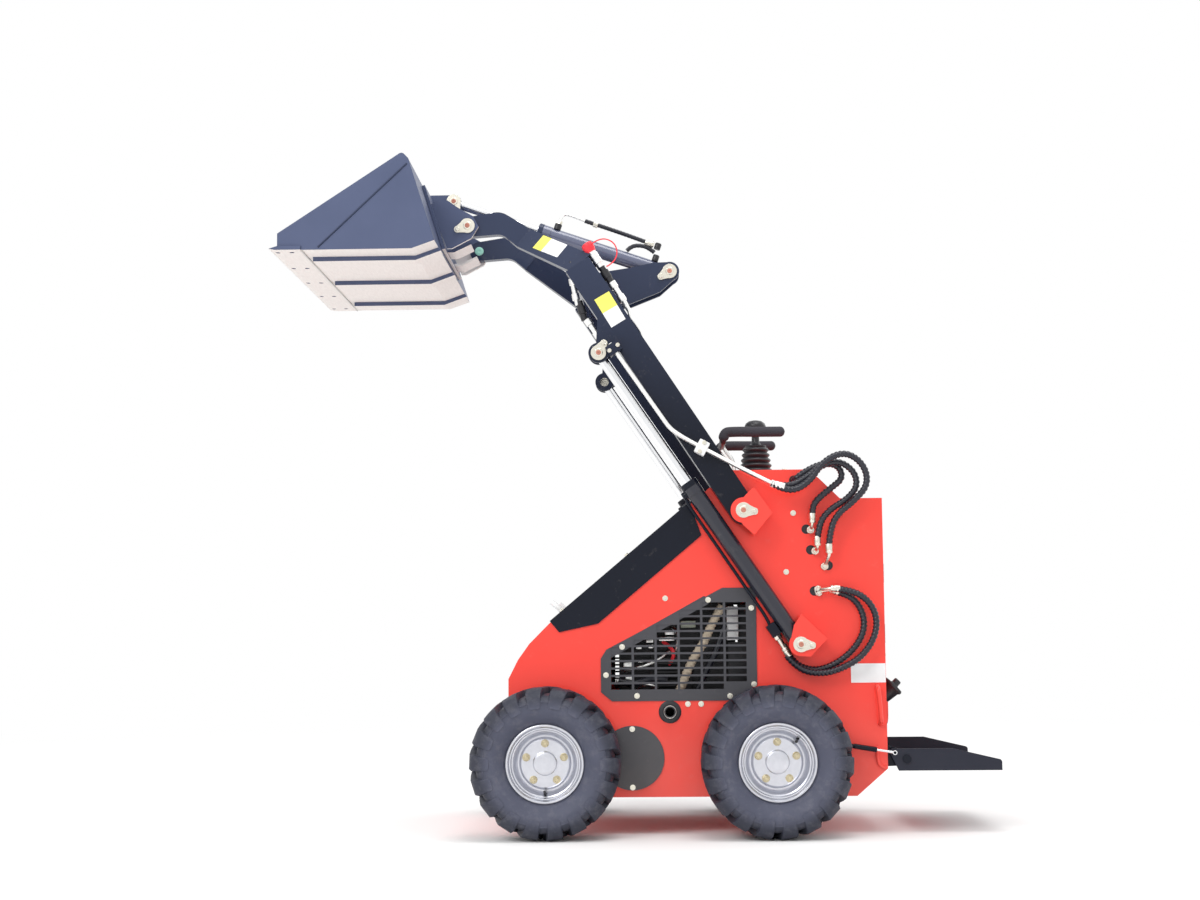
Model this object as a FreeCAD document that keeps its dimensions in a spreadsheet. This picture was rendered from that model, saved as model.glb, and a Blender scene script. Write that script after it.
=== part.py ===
import FreeCAD, Part
import math
import os
import re
import Sketcher

# Small stand-on wheeled skid steer loader, arms raised and bucket level, in millimetres.
# +X points forward, +Y to the loader's left, +Z up. The origin is on the ground under the
# middle of the loader's whole length and width.

# Each row: name, value, what it measures.
SIZES = [
    # wheels
    ("wheelbase", 700, "front axle to rear axle"),
    ("front_axle_x", 281, "front axle ahead of the origin"),
    ("tyre_radius", 230, "axle to the lugs' tips"),
    ("tyre_width", 216, "across the sidewalls"),
    ("tyre_centre_y", 422, "centre plane of the loader to the centre of a tyre"),
    ("carcass_radius", 211, "axle to the tread's floor between lugs"),
    ("tread_half", 86, "half the width of the tread's floor"),
    ("bead_half", 72, "half the distance between the beads' outer faces"),
    ("bead_radius", 103, "rim seat of the tyre"),
    ("lug_count", 18, "lugs on each side of a tyre"),
    ("lug_half_angle", 7.5, "half the angle that a lug takes at its tip, degrees"),
    ("rim_gap", 0.3, "rim off the tyre's seat"),
    ("rim_flange_radius", 118, "outer edge of the rim"),
    ("rim_flange_thick", 6, "thickness of the rim's lip"),
    ("disc_depth", 34, "rim lip back to the wheel disc"),
    ("hub_radius", 36, "raised centre of the wheel disc"),
    ("hub_rise", 14, "height of the raised centre"),
    ("rim_back", 55, "centre of the tyre back to the wheel's inner face"),
    ("axle_radius", 25, "stub axle"),
    ("axle_inner_y", 262, "inner end of a stub axle"),
    ("housing_radius", 62, "bearing housing on the body's side"),
    ("housing_length", 24, "bearing housing's stand off the side plate"),
    ("running_gap", 0.05, "radial clearance of a shaft or pin that turns"),
    # body
    ("body_half", 305, "centre plane to the outer face of a side plate"),
    ("side_plate", 6, "thickness of a side plate"),
    ("skin", 5, "thickness of the floor, nose, rear and top sheets"),
    ("belly_z", 113, "underside of the body"),
    ("nose_x", 404, "foremost face of the body"),
    ("nose_low_z", 215, "foot of the nose"),
    ("nose_top_z", 479, "top of the nose's upright face"),
    ("slope_foot_x", 271, "foot of the sloping hood"),
    ("slope_foot_z", 655, "height of the hood's foot"),
    ("hood_end_x", -170, "upper end of the hood"),
    ("hood_end_z", 1024, "height of the hood's upper end"),
    ("console_front_x", -297, "front edge of the console's top"),
    ("console_z", 1126, "height of the console's top"),
    ("console_rear_x", -538, "rear edge of the console's top"),
    ("deck_front_x", -639, "front of the low deck behind the console"),
    ("deck_z", 1034, "height of the low deck"),
    ("rear_x", -770, "rear face of the body"),
    ("rear_low_z", 196, "foot of the rear face"),
    ("belly_rear_x", -674, "rear end of the flat belly"),
    ("belly_front_x", 318, "front end of the flat belly"),
    ("hood_sheet", 4, "thickness of the hood"),
    ("hood_flange", 104, "depth of the hood's side flanges"),
    ("hood_gap", 0.4, "hood off the side plates"),
    # grille
    ("grille_front_x", 115, "front edge of the engine grille"),
    ("grille_rear_x", -371, "rear edge of the engine grille"),
    ("grille_low_z", 408, "lower edge of the grille"),
    ("grille_top_z", 757, "upper edge of the grille"),
    ("grille_sheet", 3, "thickness of the grille"),
    ("grille_margin", 20, "grille's overlap on the side plate round its opening"),
    ("slot_width", 64, "length of a grille slot"),
    ("slot_height", 16.5, "height of a grille slot"),
    ("slot_pitch_x", 71.6, "spacing of the slot columns"),
    ("slot_pitch_z", 22.9, "spacing of the slot rows"),
    ("slot_first_x", 51, "centre of the front slot column"),
    ("slot_first_z", 452, "centre of the lowest slot row"),
    # covers, exhaust, engine
    ("cover_x", 19, "round chain cover, centre"),
    ("cover_z", 233, "round chain cover, height"),
    ("cover_radius", 99, "round chain cover"),
    ("cover_thick", 4, "round chain cover's sheet"),
    ("exhaust_x", -99, "exhaust outlet, centre"),
    ("exhaust_z", 374, "exhaust outlet, height"),
    ("exhaust_hole", 35, "radius of the hole round the exhaust"),
    ("exhaust_radius", 19, "exhaust tube"),
    ("exhaust_bore", 14, "bore of the exhaust tube"),
    ("exhaust_proud", 14, "exhaust tube's stand out of the side plate"),
    ("engine_front_x", 60, "front of the engine"),
    ("engine_rear_x", -310, "rear of the engine"),
    ("engine_half_y", 190, "half the engine's width"),
    ("engine_low_z", 330, "underside of the engine"),
    ("engine_top_z", 720, "top of the engine"),
    ("sump_half_y", 110, "half the width of the engine's foot"),
    # lift arms
    ("arm_pivot_x", -333, "arm pivot"),
    ("arm_pivot_z", 995, "arm pivot's height"),
    ("arm_angle", 56.9, "arm above the horizontal, degrees"),
    ("arm_length", 935, "arm pivot to the elbow"),
    ("arm_half_depth", 43, "half the depth of an arm"),
    ("arm_inner_y", 318, "inner face of an arm"),
    ("arm_outer_y", 368, "outer face of an arm"),
    ("arm_wall", 8, "side plates of an arm"),
    ("ear_along", 662, "lift cylinder's rod pin, along the arm"),
    ("ear_down", 100, "lift cylinder's rod pin, below the arm's centre line"),
    ("ear_radius", 32, "ear round the rod pin"),
    ("goose_inner_y", 176, "inner face of a gooseneck"),
    ("goose_outer_y", 212, "outer face of a gooseneck"),
    ("goose_depth", 72, "depth of a gooseneck"),
    ("elbow_x", 168, "middle of the elbow's joint"),
    ("elbow_z", 1783, "height of the elbow's joint"),
    ("elbow_tilt", 52, "slope of the elbow's joint, degrees"),
    ("neck_x", 358, "middle of the joint between the slanting part and the gooseneck"),
    ("neck_z", 1900, "height of that joint"),
    ("neck_tilt", 38, "slope of that joint, degrees"),
    ("cross_along", 897, "cross tube, along the arm"),
    ("cross_half_length", 31, "half the cross tube's size along the arm"),
    ("cross_half_depth", 34, "half the cross tube's depth"),
    # pins
    ("pin_radius", 15, "pivot pins of the arms and cylinders"),
    ("keeper_thick", 5, "teardrop keeper plate on a pin"),
    ("keeper_radius", 24, "round end of a keeper"),
    ("keeper_tail", 34, "pin to the keeper's bolt"),
    ("keeper_tail_radius", 11, "narrow end of a keeper"),
    # brackets on the body
    ("bracket_outer_y", 384, "outer face of the pivot brackets"),
    ("bracket_plate", 9, "thickness of a bracket's outer plate"),
    ("bracket_wall", 8, "thickness of a bracket's walls"),
    ("bracket_inset", 1.5, "plate's edge out past its walls"),
    # lift cylinders
    ("lift_base_x", -503, "lift cylinder's lower pin"),
    ("lift_base_z", 580, "height of the lift cylinder's lower pin"),
    ("lift_cylinder_y", 343, "centre plane of a lift cylinder"),
    ("lift_barrel_radius", 27, "lift barrel"),
    ("lift_bore_radius", 22, "bore of the lift barrel"),
    ("lift_barrel_length", 607, "lower pin to the gland's face"),
    ("lift_rod_radius", 16.5, "lift rod"),
    ("lift_eye_radius", 27, "rod eye"),
    ("eye_half_width", 16, "half the width of a cylinder eye"),
    ("lift_base_radius", 30, "barrel's base eye"),
    ("base_wall", 40, "lower pin to the bore's closed end"),
    ("piston_gap", 60, "rod's inner end to the bore's closed end when lowered"),
    ("gland_length", 42, "rod guide at the barrel's open end"),
    ("gland_step", 1.5, "gland's radius over the barrel's"),
    # tilt cylinder
    ("horn_x", -117, "tilt cylinder's rear pin"),
    ("horn_z", 1815, "height of the tilt cylinder's rear pin"),
    ("horn_gap_half", 33, "half the gap between the horn plates"),
    ("horn_plate", 10, "thickness of a horn plate"),
    ("horn_radius", 32, "round end of a horn plate"),
    ("tilt_barrel_radius", 25, "tilt barrel"),
    ("tilt_bore_radius", 20, "bore of the tilt barrel"),
    ("tilt_barrel_length", 462, "rear pin to the gland's face"),
    ("tilt_rod_radius", 14, "tilt rod"),
    ("tilt_eye_radius", 24, "tilt rod's eye"),
    # hitch and bucket
    ("hitch_x", 538, "hitch pivot"),
    ("hitch_z", 1937, "height of the hitch pivot"),
    ("tilt_pin_x", 604, "tilt rod's pin on the hitch"),
    ("tilt_pin_z", 2065, "height of the tilt rod's pin"),
    ("neck_end_radius", 33, "round front end of a gooseneck"),
    ("cheek_inner_y", 216, "inner face of a hitch cheek"),
    ("cheek_plate", 12, "thickness of a hitch cheek"),
    ("ear_gap_half", 18, "half the gap between the tilt ears"),
    ("ear_plate", 12, "thickness of a tilt ear"),
    ("hitch_plate", 10, "thickness of the hitch's face plate"),
    ("hitch_plate_half", 260, "half the width of the hitch's face plate"),
    ("hitch_gap", 1, "face plate off the bucket's back"),
    ("back_angle", 17.4, "bucket's back, lean ahead of the upright, degrees"),
    ("back_foot_x", 609, "foot of the bucket's straight back"),
    ("back_foot_z", 1825, "height of that foot"),
    ("back_length", 271, "length of the straight back"),
    ("bucket_half", 540, "half the bucket's width"),
    ("bucket_sheet", 6, "thickness of the bucket's sheets"),
    ("bucket_side", 8, "thickness of the bucket's side plates"),
    ("floor_rear_x", 680, "rear end of the bucket's flat floor"),
    ("floor_front_x", 1021, "front end of the bucket's floor sheet"),
    ("floor_z", 1800, "underside of the bucket's floor"),
    ("edge_tip_x", 1119, "foremost line of the cutting edge"),
    ("edge_thick", 12, "thickness of the cutting edge"),
    ("edge_half", 546, "half the width of the cutting edge"),
    ("side_tip_x", 1094, "front corner of a bucket side"),
    ("side_tip_top_z", 1852, "top of a bucket side's front corner"),
    ("edge_hole_radius", 7.5, "bolt holes of the cutting edge"),
    ("edge_hole_x", 1099, "front row of bolt holes"),
    ("edge_hole_gap", 44, "front row to rear row of bolt holes"),
    ("edge_hole_pitch", 250, "spacing of the pairs of bolt holes"),
    ("runner_half", 30, "half the width of a wear runner"),
    ("runner_thick", 14, "thickness of a wear runner"),
    ("runner_front_x", 1003, "front end of a wear runner"),
    ("runner_pitch", 400, "spacing of the wear runners"),
    # rear platform
    ("platform_pivot_x", -827, "platform's hinge"),
    ("platform_pivot_z", 226, "height of the platform's hinge"),
    ("platform_half", 317, "centre plane to the outer face of the platform's sides"),
    ("platform_sheet", 6, "thickness of the platform's sheets"),
    ("platform_front_x", -780, "front end of the platform's sides"),
    ("platform_kink_x", -970, "where the platform's sides start to drop"),
    ("platform_top_z", 257, "top of the platform's sides"),
    ("platform_end_x", -1119, "rear end of the platform"),
    ("platform_end_z", 222, "top of the platform's sides at the rear end"),
    ("platform_low_z", 190, "underside of the platform"),
    ("hinge_pin_radius", 8, "platform's hinge pin"),
    ("hinge_ear", 8, "thickness of the hinge ears"),
    ("hinge_ear_radius", 22, "round end of a hinge ear"),
    # gas struts of the platform
    ("strut_y", 327, "centre plane of a gas strut"),
    ("strut_base_x", -655, "strut's ball on the body"),
    ("strut_base_z", 268, "height of that ball"),
    ("strut_tip_x", -789, "strut's ball on the platform"),
    ("strut_tip_z", 246, "height of that ball"),
    ("strut_radius", 8, "strut's tube"),
    ("strut_tube_length", 80, "body ball to the end of the tube"),
    ("strut_bore", 5, "bore of the strut's tube"),
    ("strut_rod_radius", 4, "strut's rod"),
    ("ball_radius", 7, "ball socket of a strut"),
    ("stud_radius", 3, "ball stud"),
    # controls and small parts
    ("grip_y", 227, "middle of a hand grip, from the machine's middle"),
    ("grip_radius", 17, "foam hand grip"),
    ("grip_front_x", -262, "front end of a hand grip"),
    ("grip_rear_x", -482, "rounded rear end of a hand grip"),
    ("grip_z", 1257, "height of a hand grip"),
    ("bar_radius", 11, "cross bar that carries the grips"),
    ("bar_x", -276, "cross bar, along the machine"),
    ("bar_z", 1226, "height of the cross bar"),
    ("bar_foot_x", -318, "rear edge of the cross bar's feet"),
    ("bar_foot_y", 60, "middle of a foot, from the machine's middle"),
    ("bar_foot_half", 9, "half the width of a foot"),
    ("lever_x", -395, "joystick"),
    ("bellows_radius", 46, "foot of the joystick's bellows"),
    ("bellows_top_radius", 26, "top of the bellows"),
    ("bellows_height", 96, "height of the bellows"),
    ("knob_radius", 22, "joystick's knob"),
    ("knob_z", 1300, "top of the knob"),
    ("filler_y", 200, "filler neck beside the centre plane"),
    ("filler_z", 412, "height of the filler neck's foot"),
    ("filler_reach", 52, "length of the filler neck"),
    ("filler_cap_radius", 35, "cap of the filler neck"),
    ("filler_neck_radius", 24, "filler neck"),
    ("lamp_y", 250, "headlamp beside the centre plane"),
    ("lamp_along", 36, "hood's foot to the headlamps, along the slope"),
    ("lamp_size", 47, "side of a square headlamp"),
    ("lamp_depth", 17, "depth of a headlamp"),
    ("hose_radius", 9, "hydraulic hose with its guard"),
    ("pipe_radius", 6, "steel pipe on the arm"),
    ("pipe_outer_y", 396, "middle of the outer pipe where it crosses the arm"),
    ("pipe_pitch", 19, "from one pipe to the other"),
    ("clamp_half", 15, "half the size of a pipe clamp"),
    ("port_along", 62, "port block, along the lift cylinder"),
    ("port_length", 42, "length of the port block"),
    ("port_depth", 31, "port block, out from the barrel"),
    ("port_half", 21, "half the width of the port block"),
    ("handle_radius", 8, "grab handle on the rear"),
    ("handle_half", 70, "half the height of the grab handle"),
    ("handle_z", 386, "middle of the grab handle"),
    ("handle_y", 60, "grab handle, from the machine's middle"),
    ("handle_reach", 30, "grab handle, from the rear skin"),
]

MEANING = {name: note for name, value, note in SIZES}

doc = FreeCAD.newDocument("Loader")
sheet = doc.addObject("Spreadsheet::Sheet", "Sizes")
for row, (name, value, note) in enumerate(SIZES, start=1):
    sheet.set("A%d" % row, name)
    sheet.set("B%d" % row, str(value))
    sheet.set("C%d" % row, note)
    sheet.setAlias("B%d" % row, name)
doc.recompute()


def formula(text):
    """Expression text with each size's name pointed at its cell in the sheet."""
    return re.sub(
        r"[a-z][a-z_]+", lambda m: "Sizes." + m.group() if m.group() in MEANING else m.group(), str(text)
    )


def amount(text):
    """Number that an expression gives now."""
    value = sheet.evalExpression(formula(text))
    return float(getattr(value, "Value", value))


# For each plane: which way a pad must run for its length to point along the positive axis.
PLANES = {"XZ_Plane": (-1, "y"), "XY_Plane": (1, "z"), "YZ_Plane": (1, "x")}


class Piece:
    """One body of the document, drawn with sketches on its own origin planes."""

    def __init__(self, label):
        self.label = label
        self.body = doc.addObject("PartDesign::Body", label)
        self.body.Label = label
        self.planes = {f.Role: f for f in self.body.Origin.OriginFeatures}
        self.count = 0

    def feature(self, kind, word):
        self.count += 1
        return self.body.newObject(kind, "%s_%s%d" % (self.label, word, self.count))

    def sketch(self, plane="XZ_Plane", at=("0", "0"), level="0", turn="0", lean=None):
        """Sketch at a place in its plane, at a level across it, turned about its own normal."""
        drawing = self.feature("Sketcher::SketchObject", "sketch")
        drawing.AttachmentSupport = [(self.planes[plane], "")]
        drawing.MapMode = "FlatFace"
        sign = PLANES[plane][0]
        axis = FreeCAD.Vector(1, 0, 0) if lean else FreeCAD.Vector(0, 0, 1)
        drawing.AttachmentOffset = FreeCAD.Placement(FreeCAD.Vector(), FreeCAD.Rotation(axis, 10))
        drawing.setExpression("AttachmentOffset.Base.x", formula(at[0]))
        drawing.setExpression("AttachmentOffset.Base.y", formula(at[1]))
        drawing.setExpression("AttachmentOffset.Base.z", formula("%d * (%s)" % (sign, level)))
        drawing.setExpression("AttachmentOffset.Rotation.Angle", formula(lean or turn))
        return drawing

    def tie(self, drawing, ties):
        """Constraints added in one go; a row's text, if any, is the size that it follows."""
        first = drawing.ConstraintCount
        drawing.addConstraint([
            Sketcher.Constraint(kind, *where, *([amount(text)] if text else []))
            for kind, text, where in ties
        ])
        for index, (kind, text, where) in enumerate(ties, start=first):
            if text:
                drawing.setExpression("Constraints[%d]" % index, formula(text))

    def outline(self, drawing, corners):
        """Closed outline through corners of (across, up), each a size or a sum of sizes."""
        spots = [FreeCAD.Vector(amount(c[0]), amount(c[1]), 0) for c in corners]
        first = drawing.GeometryCount
        drawing.addGeometry([
            Part.LineSegment(spot, after) for spot, after in zip(spots, spots[1:] + spots[:1])
        ])
        ties = []
        for i, corner in enumerate(corners):
            ties.append(("Coincident", None, (first + i, 1, first + (i - 1) % len(corners), 2)))
            ties.append(("DistanceX", corner[0], (-1, 1, first + i, 1)))
            ties.append(("DistanceY", corner[1], (-1, 1, first + i, 1)))
        self.tie(drawing, ties)

    def circle(self, drawing, across, up, radius):
        spot = FreeCAD.Vector(amount(across), amount(up), 0)
        index = drawing.addGeometry(Part.Circle(spot, FreeCAD.Vector(0, 0, 1), amount(radius)))
        self.tie(drawing, [
            ("DistanceX", across, (-1, 1, index, 3)),
            ("DistanceY", up, (-1, 1, index, 3)),
            ("Radius", radius, (index,)),
        ])

    def draw(self, drawing, corners, circles):
        if corners:
            self.outline(drawing, corners)
        for across, up, radius in circles:
            self.circle(drawing, across, up, radius)

    def pad(self, low, high, corners=(), circles=(), plane="XZ_Plane", at=("0", "0"), turn="0"):
        """Solid of an outline between two levels; corners may carry a rounding radius."""
        drawing = self.sketch(plane, at, low, turn)
        self.draw(drawing, corners, circles)
        solid = self.feature("PartDesign::Pad", "pad")
        solid.Profile = drawing
        solid.Reversed = PLANES[plane][0] < 0
        solid.setExpression("Length", formula("(%s) - (%s)" % (high, low)))
        doc.recompute()
        self.round_corners(drawing, corners)
        return solid

    def round_corners(self, drawing, corners):
        """Fillets on the edges that stand on the corners which carry a radius."""
        normal = drawing.Placement.Rotation.multVec(FreeCAD.Vector(0, 0, 1))
        for radius in sorted({c[2] for c in corners if len(c) > 2}):
            spots = [
                drawing.Placement.multVec(FreeCAD.Vector(amount(c[0]), amount(c[1]), 0))
                for c in corners
                if len(c) > 2 and c[2] == radius
            ]
            edges = []
            for number, edge in enumerate(self.body.Tip.Shape.Edges, start=1):
                if edge.Curve.TypeId != "Part::GeomLine" or len(edge.Vertexes) < 2:
                    continue
                line = edge.Vertexes[1].Point - edge.Vertexes[0].Point
                if line.cross(normal).Length > 0.001 * line.Length:
                    continue
                if any((edge.Vertexes[0].Point - s).cross(normal).Length < 0.01 for s in spots):
                    edges.append("Edge%d" % number)
            base = self.body.Tip
            fillet = self.feature("PartDesign::Fillet", "fillet")
            fillet.Base = (base, edges)
            fillet.setExpression("Radius", formula(radius))
            doc.recompute()

    def cut(self, low, high, corners=(), circles=(), plane="XZ_Plane", at=("0", "0"), turn="0"):
        """Pocket of an outline between two levels."""
        before = self.body.Shape.Volume
        drawing = self.sketch(plane, at, low, turn)
        self.draw(drawing, corners, circles)
        hole = self.feature("PartDesign::Pocket", "pocket")
        hole.Profile = drawing
        hole.Reversed = PLANES[plane][0] > 0
        hole.setExpression("Length", formula("(%s) - (%s)" % (high, low)))
        doc.recompute()
        if self.body.Shape.Volume >= before:
            raise RuntimeError(self.label + ": a pocket cut nothing")
        return hole

    def spin(self, corners, plane="XZ_Plane", at=("0", "0"), level="0", turn="0", axis="H_Axis"):
        """Solid of revolution about the sketch's own axis."""
        drawing = self.sketch(plane, at, level, turn)
        self.outline(drawing, corners)
        solid = self.feature("PartDesign::Revolution", "turning")
        solid.Profile = drawing
        solid.ReferenceAxis = (drawing, [axis])
        solid.Angle = 360
        doc.recompute()
        return solid

    def rectangle_loft(self, sections):
        """Straight loft through leaning rectangles of (x, z, lean, inner y, outer y, depth)."""
        drawings = []
        for x, z, lean, inner, outer, depth in sections:
            drawing = self.sketch("YZ_Plane", ("0", z), x, lean="-(%s)" % lean)
            half = "(%s) / 2" % depth
            low = "-" + half
            self.outline(drawing, [(inner, low), (outer, low), (outer, half), (inner, half)])
            drawings.append(drawing)
        loft = self.feature("PartDesign::AdditiveLoft", "loft")
        loft.Profile = drawings[0]
        loft.Sections = drawings[1:]
        loft.Ruled = True
        doc.recompute()
        return loft


NODES = []


def keep(thing, label=None):
    """Enters an object as a sub-part under its label."""
    if label:
        thing.Label = label
    NODES.append(thing)
    return thing


def mirrored(thing, label):
    """The same piece on the loader's right side."""
    copy = doc.addObject("Part::Mirroring", label)
    copy.Source = thing
    copy.Normal = FreeCAD.Vector(0, 1, 0)
    return copy


def both_sides(piece, label):
    """One sub-part holding a left piece and its mirror image."""
    piece.body.Label = label + "_one"
    group = doc.addObject("Part::Compound", label)
    group.Links = [piece.body, mirrored(piece.body, label + "_other")]
    return keep(group, label)


def flat_solid(loops):
    """Solid closed by flat faces, each given by its corners in order."""
    solid = Part.Solid(Part.Shell([Part.Face(Part.makePolygon(c + c[:1])) for c in loops]))
    if solid.Volume < 0:
        solid.reverse()
    return solid


def faceted_turning(profile, sides, turn=0.0):
    """Solid of flat facets round the Y axis, from a closed profile of (radius, y)."""
    rings = []
    for radius, y in profile:
        ring = []
        for k in range(sides):
            angle = 2 * math.pi * (k + turn) / sides
            ring.append(FreeCAD.Vector(radius * math.cos(angle), y, radius * math.sin(angle)))
        rings.append(ring)
    loops = []
    for i, ring in enumerate(rings):
        after = rings[(i + 1) % len(rings)]
        if profile[i][0] == 0 and profile[(i + 1) % len(profile)][0] == 0:
            continue
        for k in range(sides):
            n = (k + 1) % sides
            corners = [ring[k], ring[n], after[n], after[k]]
            if profile[i][0] == 0:
                corners = [ring[k], after[n], after[k]]
            if profile[(i + 1) % len(profile)][0] == 0:
                corners = [ring[k], ring[n], after[k]]
            loops.append(corners)
    return flat_solid(loops)


# Wheels



def lug(side):
    """One tread lug as a straight loft from the tyre's middle to its shoulder."""
    tip = amount("tyre_radius * cos(lug_half_angle)")
    reach = amount("tyre_radius * sin(lug_half_angle)")
    root = amount("carcass_radius") - 12
    # columns: y from the middle, rear and front edges as shares of the reach, top, bottom
    rows = [
        (-6, -1.0, -0.05, tip, root),
        (amount("tread_half") * 0.92, -0.1, 1.0, tip, root),
        (amount("tyre_width") / 2 - 2, 0.1, 1.0, tip - 44, root - 30),
    ]
    rings = []
    for y, rear, front, top, bottom in rows:
        rings.append([
            FreeCAD.Vector(rear * reach, side * y, bottom),
            FreeCAD.Vector(front * reach, side * y, bottom),
            FreeCAD.Vector(front * reach, side * y, top),
            FreeCAD.Vector(rear * reach, side * y, top),
        ])
    loops = [rings[0], rings[-1]]
    for ring, after in zip(rings, rings[1:]):
        loops += [[ring[i], ring[(i + 1) % 4], after[(i + 1) % 4], after[i]] for i in range(4)]
    return flat_solid(loops)


def tyre_shape():
    """Carcass with two rows of lugs, left and right rows half a pitch apart."""
    half = amount("tyre_width") / 2
    tread = amount("tread_half")
    bead = amount("bead_half")
    seat = amount("bead_radius")
    flange = amount("rim_flange_radius / cos(180 / lug_count) + rim_gap")
    floor = amount("carcass_radius")
    middle = (floor + flange) / 2
    profile = [
        (seat, -bead), (flange, -bead), (middle, -half), (floor, -tread),
        (floor, tread), (middle, half), (flange, bead), (seat, bead),
    ]
    count = int(amount("lug_count"))
    pitch = 360.0 / count
    shape = faceted_turning(profile, count)
    shape.rotate(FreeCAD.Vector(), FreeCAD.Vector(0, 1, 0), pitch / 4)
    lugs = []
    for side, shift in ((1, pitch / 4), (-1, -pitch / 4)):
        one = lug(side)
        for k in range(count):
            copy = one.copy()
            copy.rotate(FreeCAD.Vector(), FreeCAD.Vector(0, 1, 0), 180 + shift + k * pitch)
            lugs.append(copy)
    return shape.multiFuse(lugs).removeSplitter()


def wheel_shape():
    """Rim, dished disc, hub and stub axle of a left wheel about the Y axis."""
    lip = amount("bead_half + rim_flange_thick")
    disc = lip - amount("disc_depth")
    back = -amount("rim_back")
    seat = amount("bead_radius * cos(180 / lug_count) - rim_gap")
    flange = amount("rim_flange_radius")
    hub = amount("hub_radius")
    axle = amount("axle_radius")
    inner = amount("axle_inner_y - tyre_centre_y")
    profile = [
        (0, inner), (axle, inner), (axle, back), (seat, back), (seat, amount("bead_half")),
        (flange, amount("bead_half")), (flange, lip), (flange - 14, lip), (flange - 24, disc),
        (hub + 6, disc), (hub, disc + amount("hub_rise")), (0, disc + amount("hub_rise")),
    ]
    return faceted_turning(profile, 24)


AXLE_Z = "tyre_radius * cos(360 / lug_count / 4 - lug_half_angle)"
# columns: place in the names, x, side
CORNERS = [
    ("front_left", "front_axle_x", 1),
    ("front_right", "front_axle_x", -1),
    ("rear_left", "front_axle_x - wheelbase", 1),
    ("rear_right", "front_axle_x - wheelbase", -1),
]

tyre = tyre_shape()
wheel = wheel_shape()
for place, axle_x, side in CORNERS:
    centre = FreeCAD.Vector(amount(axle_x), side * amount("tyre_centre_y"), amount(AXLE_Z))
    piece = keep(doc.addObject("Part::Feature", "tyre_" + place))
    piece.Shape = tyre.copy()
    piece.Placement = FreeCAD.Placement(centre, FreeCAD.Rotation())
    piece = keep(doc.addObject("Part::Feature", "wheel_" + place))
    piece.Shape = wheel.copy()
    turn = 0 if side > 0 else 180
    piece.Placement = FreeCAD.Placement(centre, FreeCAD.Rotation(FreeCAD.Vector(0, 0, 1), turn))


# Body

SLOPE = "atan2(hood_end_z - slope_foot_z; slope_foot_x - hood_end_x)"
BODY_SIDE = [
    ("nose_x", "nose_low_z", "60"),
    ("nose_x", "nose_top_z"),
    ("nose_x - 30", "nose_top_z + 59"),
    ("nose_x - 66", "nose_top_z + 109"),
    ("slope_foot_x", "slope_foot_z"),
    ("console_front_x", "console_z"),
    ("console_rear_x", "console_z"),
    ("console_rear_x - 36", "console_z - 28"),
    ("deck_front_x", "deck_z"),
    ("rear_x", "deck_z"),
    ("rear_x", "rear_low_z"),
    ("belly_rear_x", "belly_z"),
    ("belly_front_x", "belly_z"),
]
GRILLE_EDGE = [
    ("grille_front_x - 34", "grille_low_z"),
    ("grille_front_x", "grille_low_z + 28"),
    ("grille_front_x", "grille_low_z + 132"),
    ("grille_front_x - 18", "grille_low_z + 160"),
    ("grille_front_x - 45", "grille_low_z + 174"),
    ("grille_rear_x + 105", "grille_top_z"),
    ("grille_rear_x", "grille_top_z"),
    ("grille_rear_x", "grille_low_z + 47"),
    ("grille_rear_x + 92", "grille_low_z"),
]
# The opening behind the grille: the grille's outline drawn in by its margin.
GRILLE_OPENING = [
    ("grille_front_x - 34", "grille_low_z + grille_margin"),
    ("grille_front_x - grille_margin", "grille_low_z + 44"),
    ("grille_front_x - grille_margin", "grille_low_z + 126"),
    ("grille_front_x - 50", "grille_low_z + 148"),
    ("grille_rear_x + 110", "grille_top_z - grille_margin"),
    ("grille_rear_x + grille_margin", "grille_top_z - grille_margin"),
    ("grille_rear_x + grille_margin", "grille_low_z + 56"),
    ("grille_rear_x + 96", "grille_low_z + grille_margin"),
]


def side_plate(label, low, high, exhaust):
    """Side plate with the grille opening and axle holes, and the exhaust hole if it has one."""
    piece = Piece(label)
    piece.pad(low, high, BODY_SIDE)
    piece.cut(low, high, GRILLE_OPENING)
    holes = [(x, AXLE_Z, "axle_radius + 6") for place, x, side in CORNERS if side > 0]
    if exhaust:
        holes.append(("exhaust_x", "exhaust_z", "exhaust_hole"))
    piece.cut(low, high, circles=holes)
    keep(piece.body)


def body_wrap():
    """Floor, nose, slope, console top and rear of the body as one sheet round the sides."""
    piece = Piece("body_wrap")
    reach = "body_half - side_plate"
    piece.pad("-(%s)" % reach, reach, BODY_SIDE)
    shell = piece.feature("PartDesign::Thickness", "shell")
    ends = [
        "Face%d" % number
        for number, face in enumerate(piece.body.Shape.Faces, start=1)
        if abs(abs(face.normalAt(0, 0).y) - 1) < 1e-6
    ]
    shell.Base = (shell.BaseFeature, ends)
    shell.setExpression("Value", formula("skin"))
    shell.Reversed = True
    doc.recompute()
    # engine bay under the hood
    piece.cut(
        "-body_half + 60", "body_half - 60",
        [("60", "-skin * 3"), ("420", "-skin * 3"), ("420", "skin * 3"), ("60", "skin * 3")],
        at=("slope_foot_x", "slope_foot_z"), turn="180 deg - " + SLOPE,
    )
    keep(piece.body)


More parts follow.
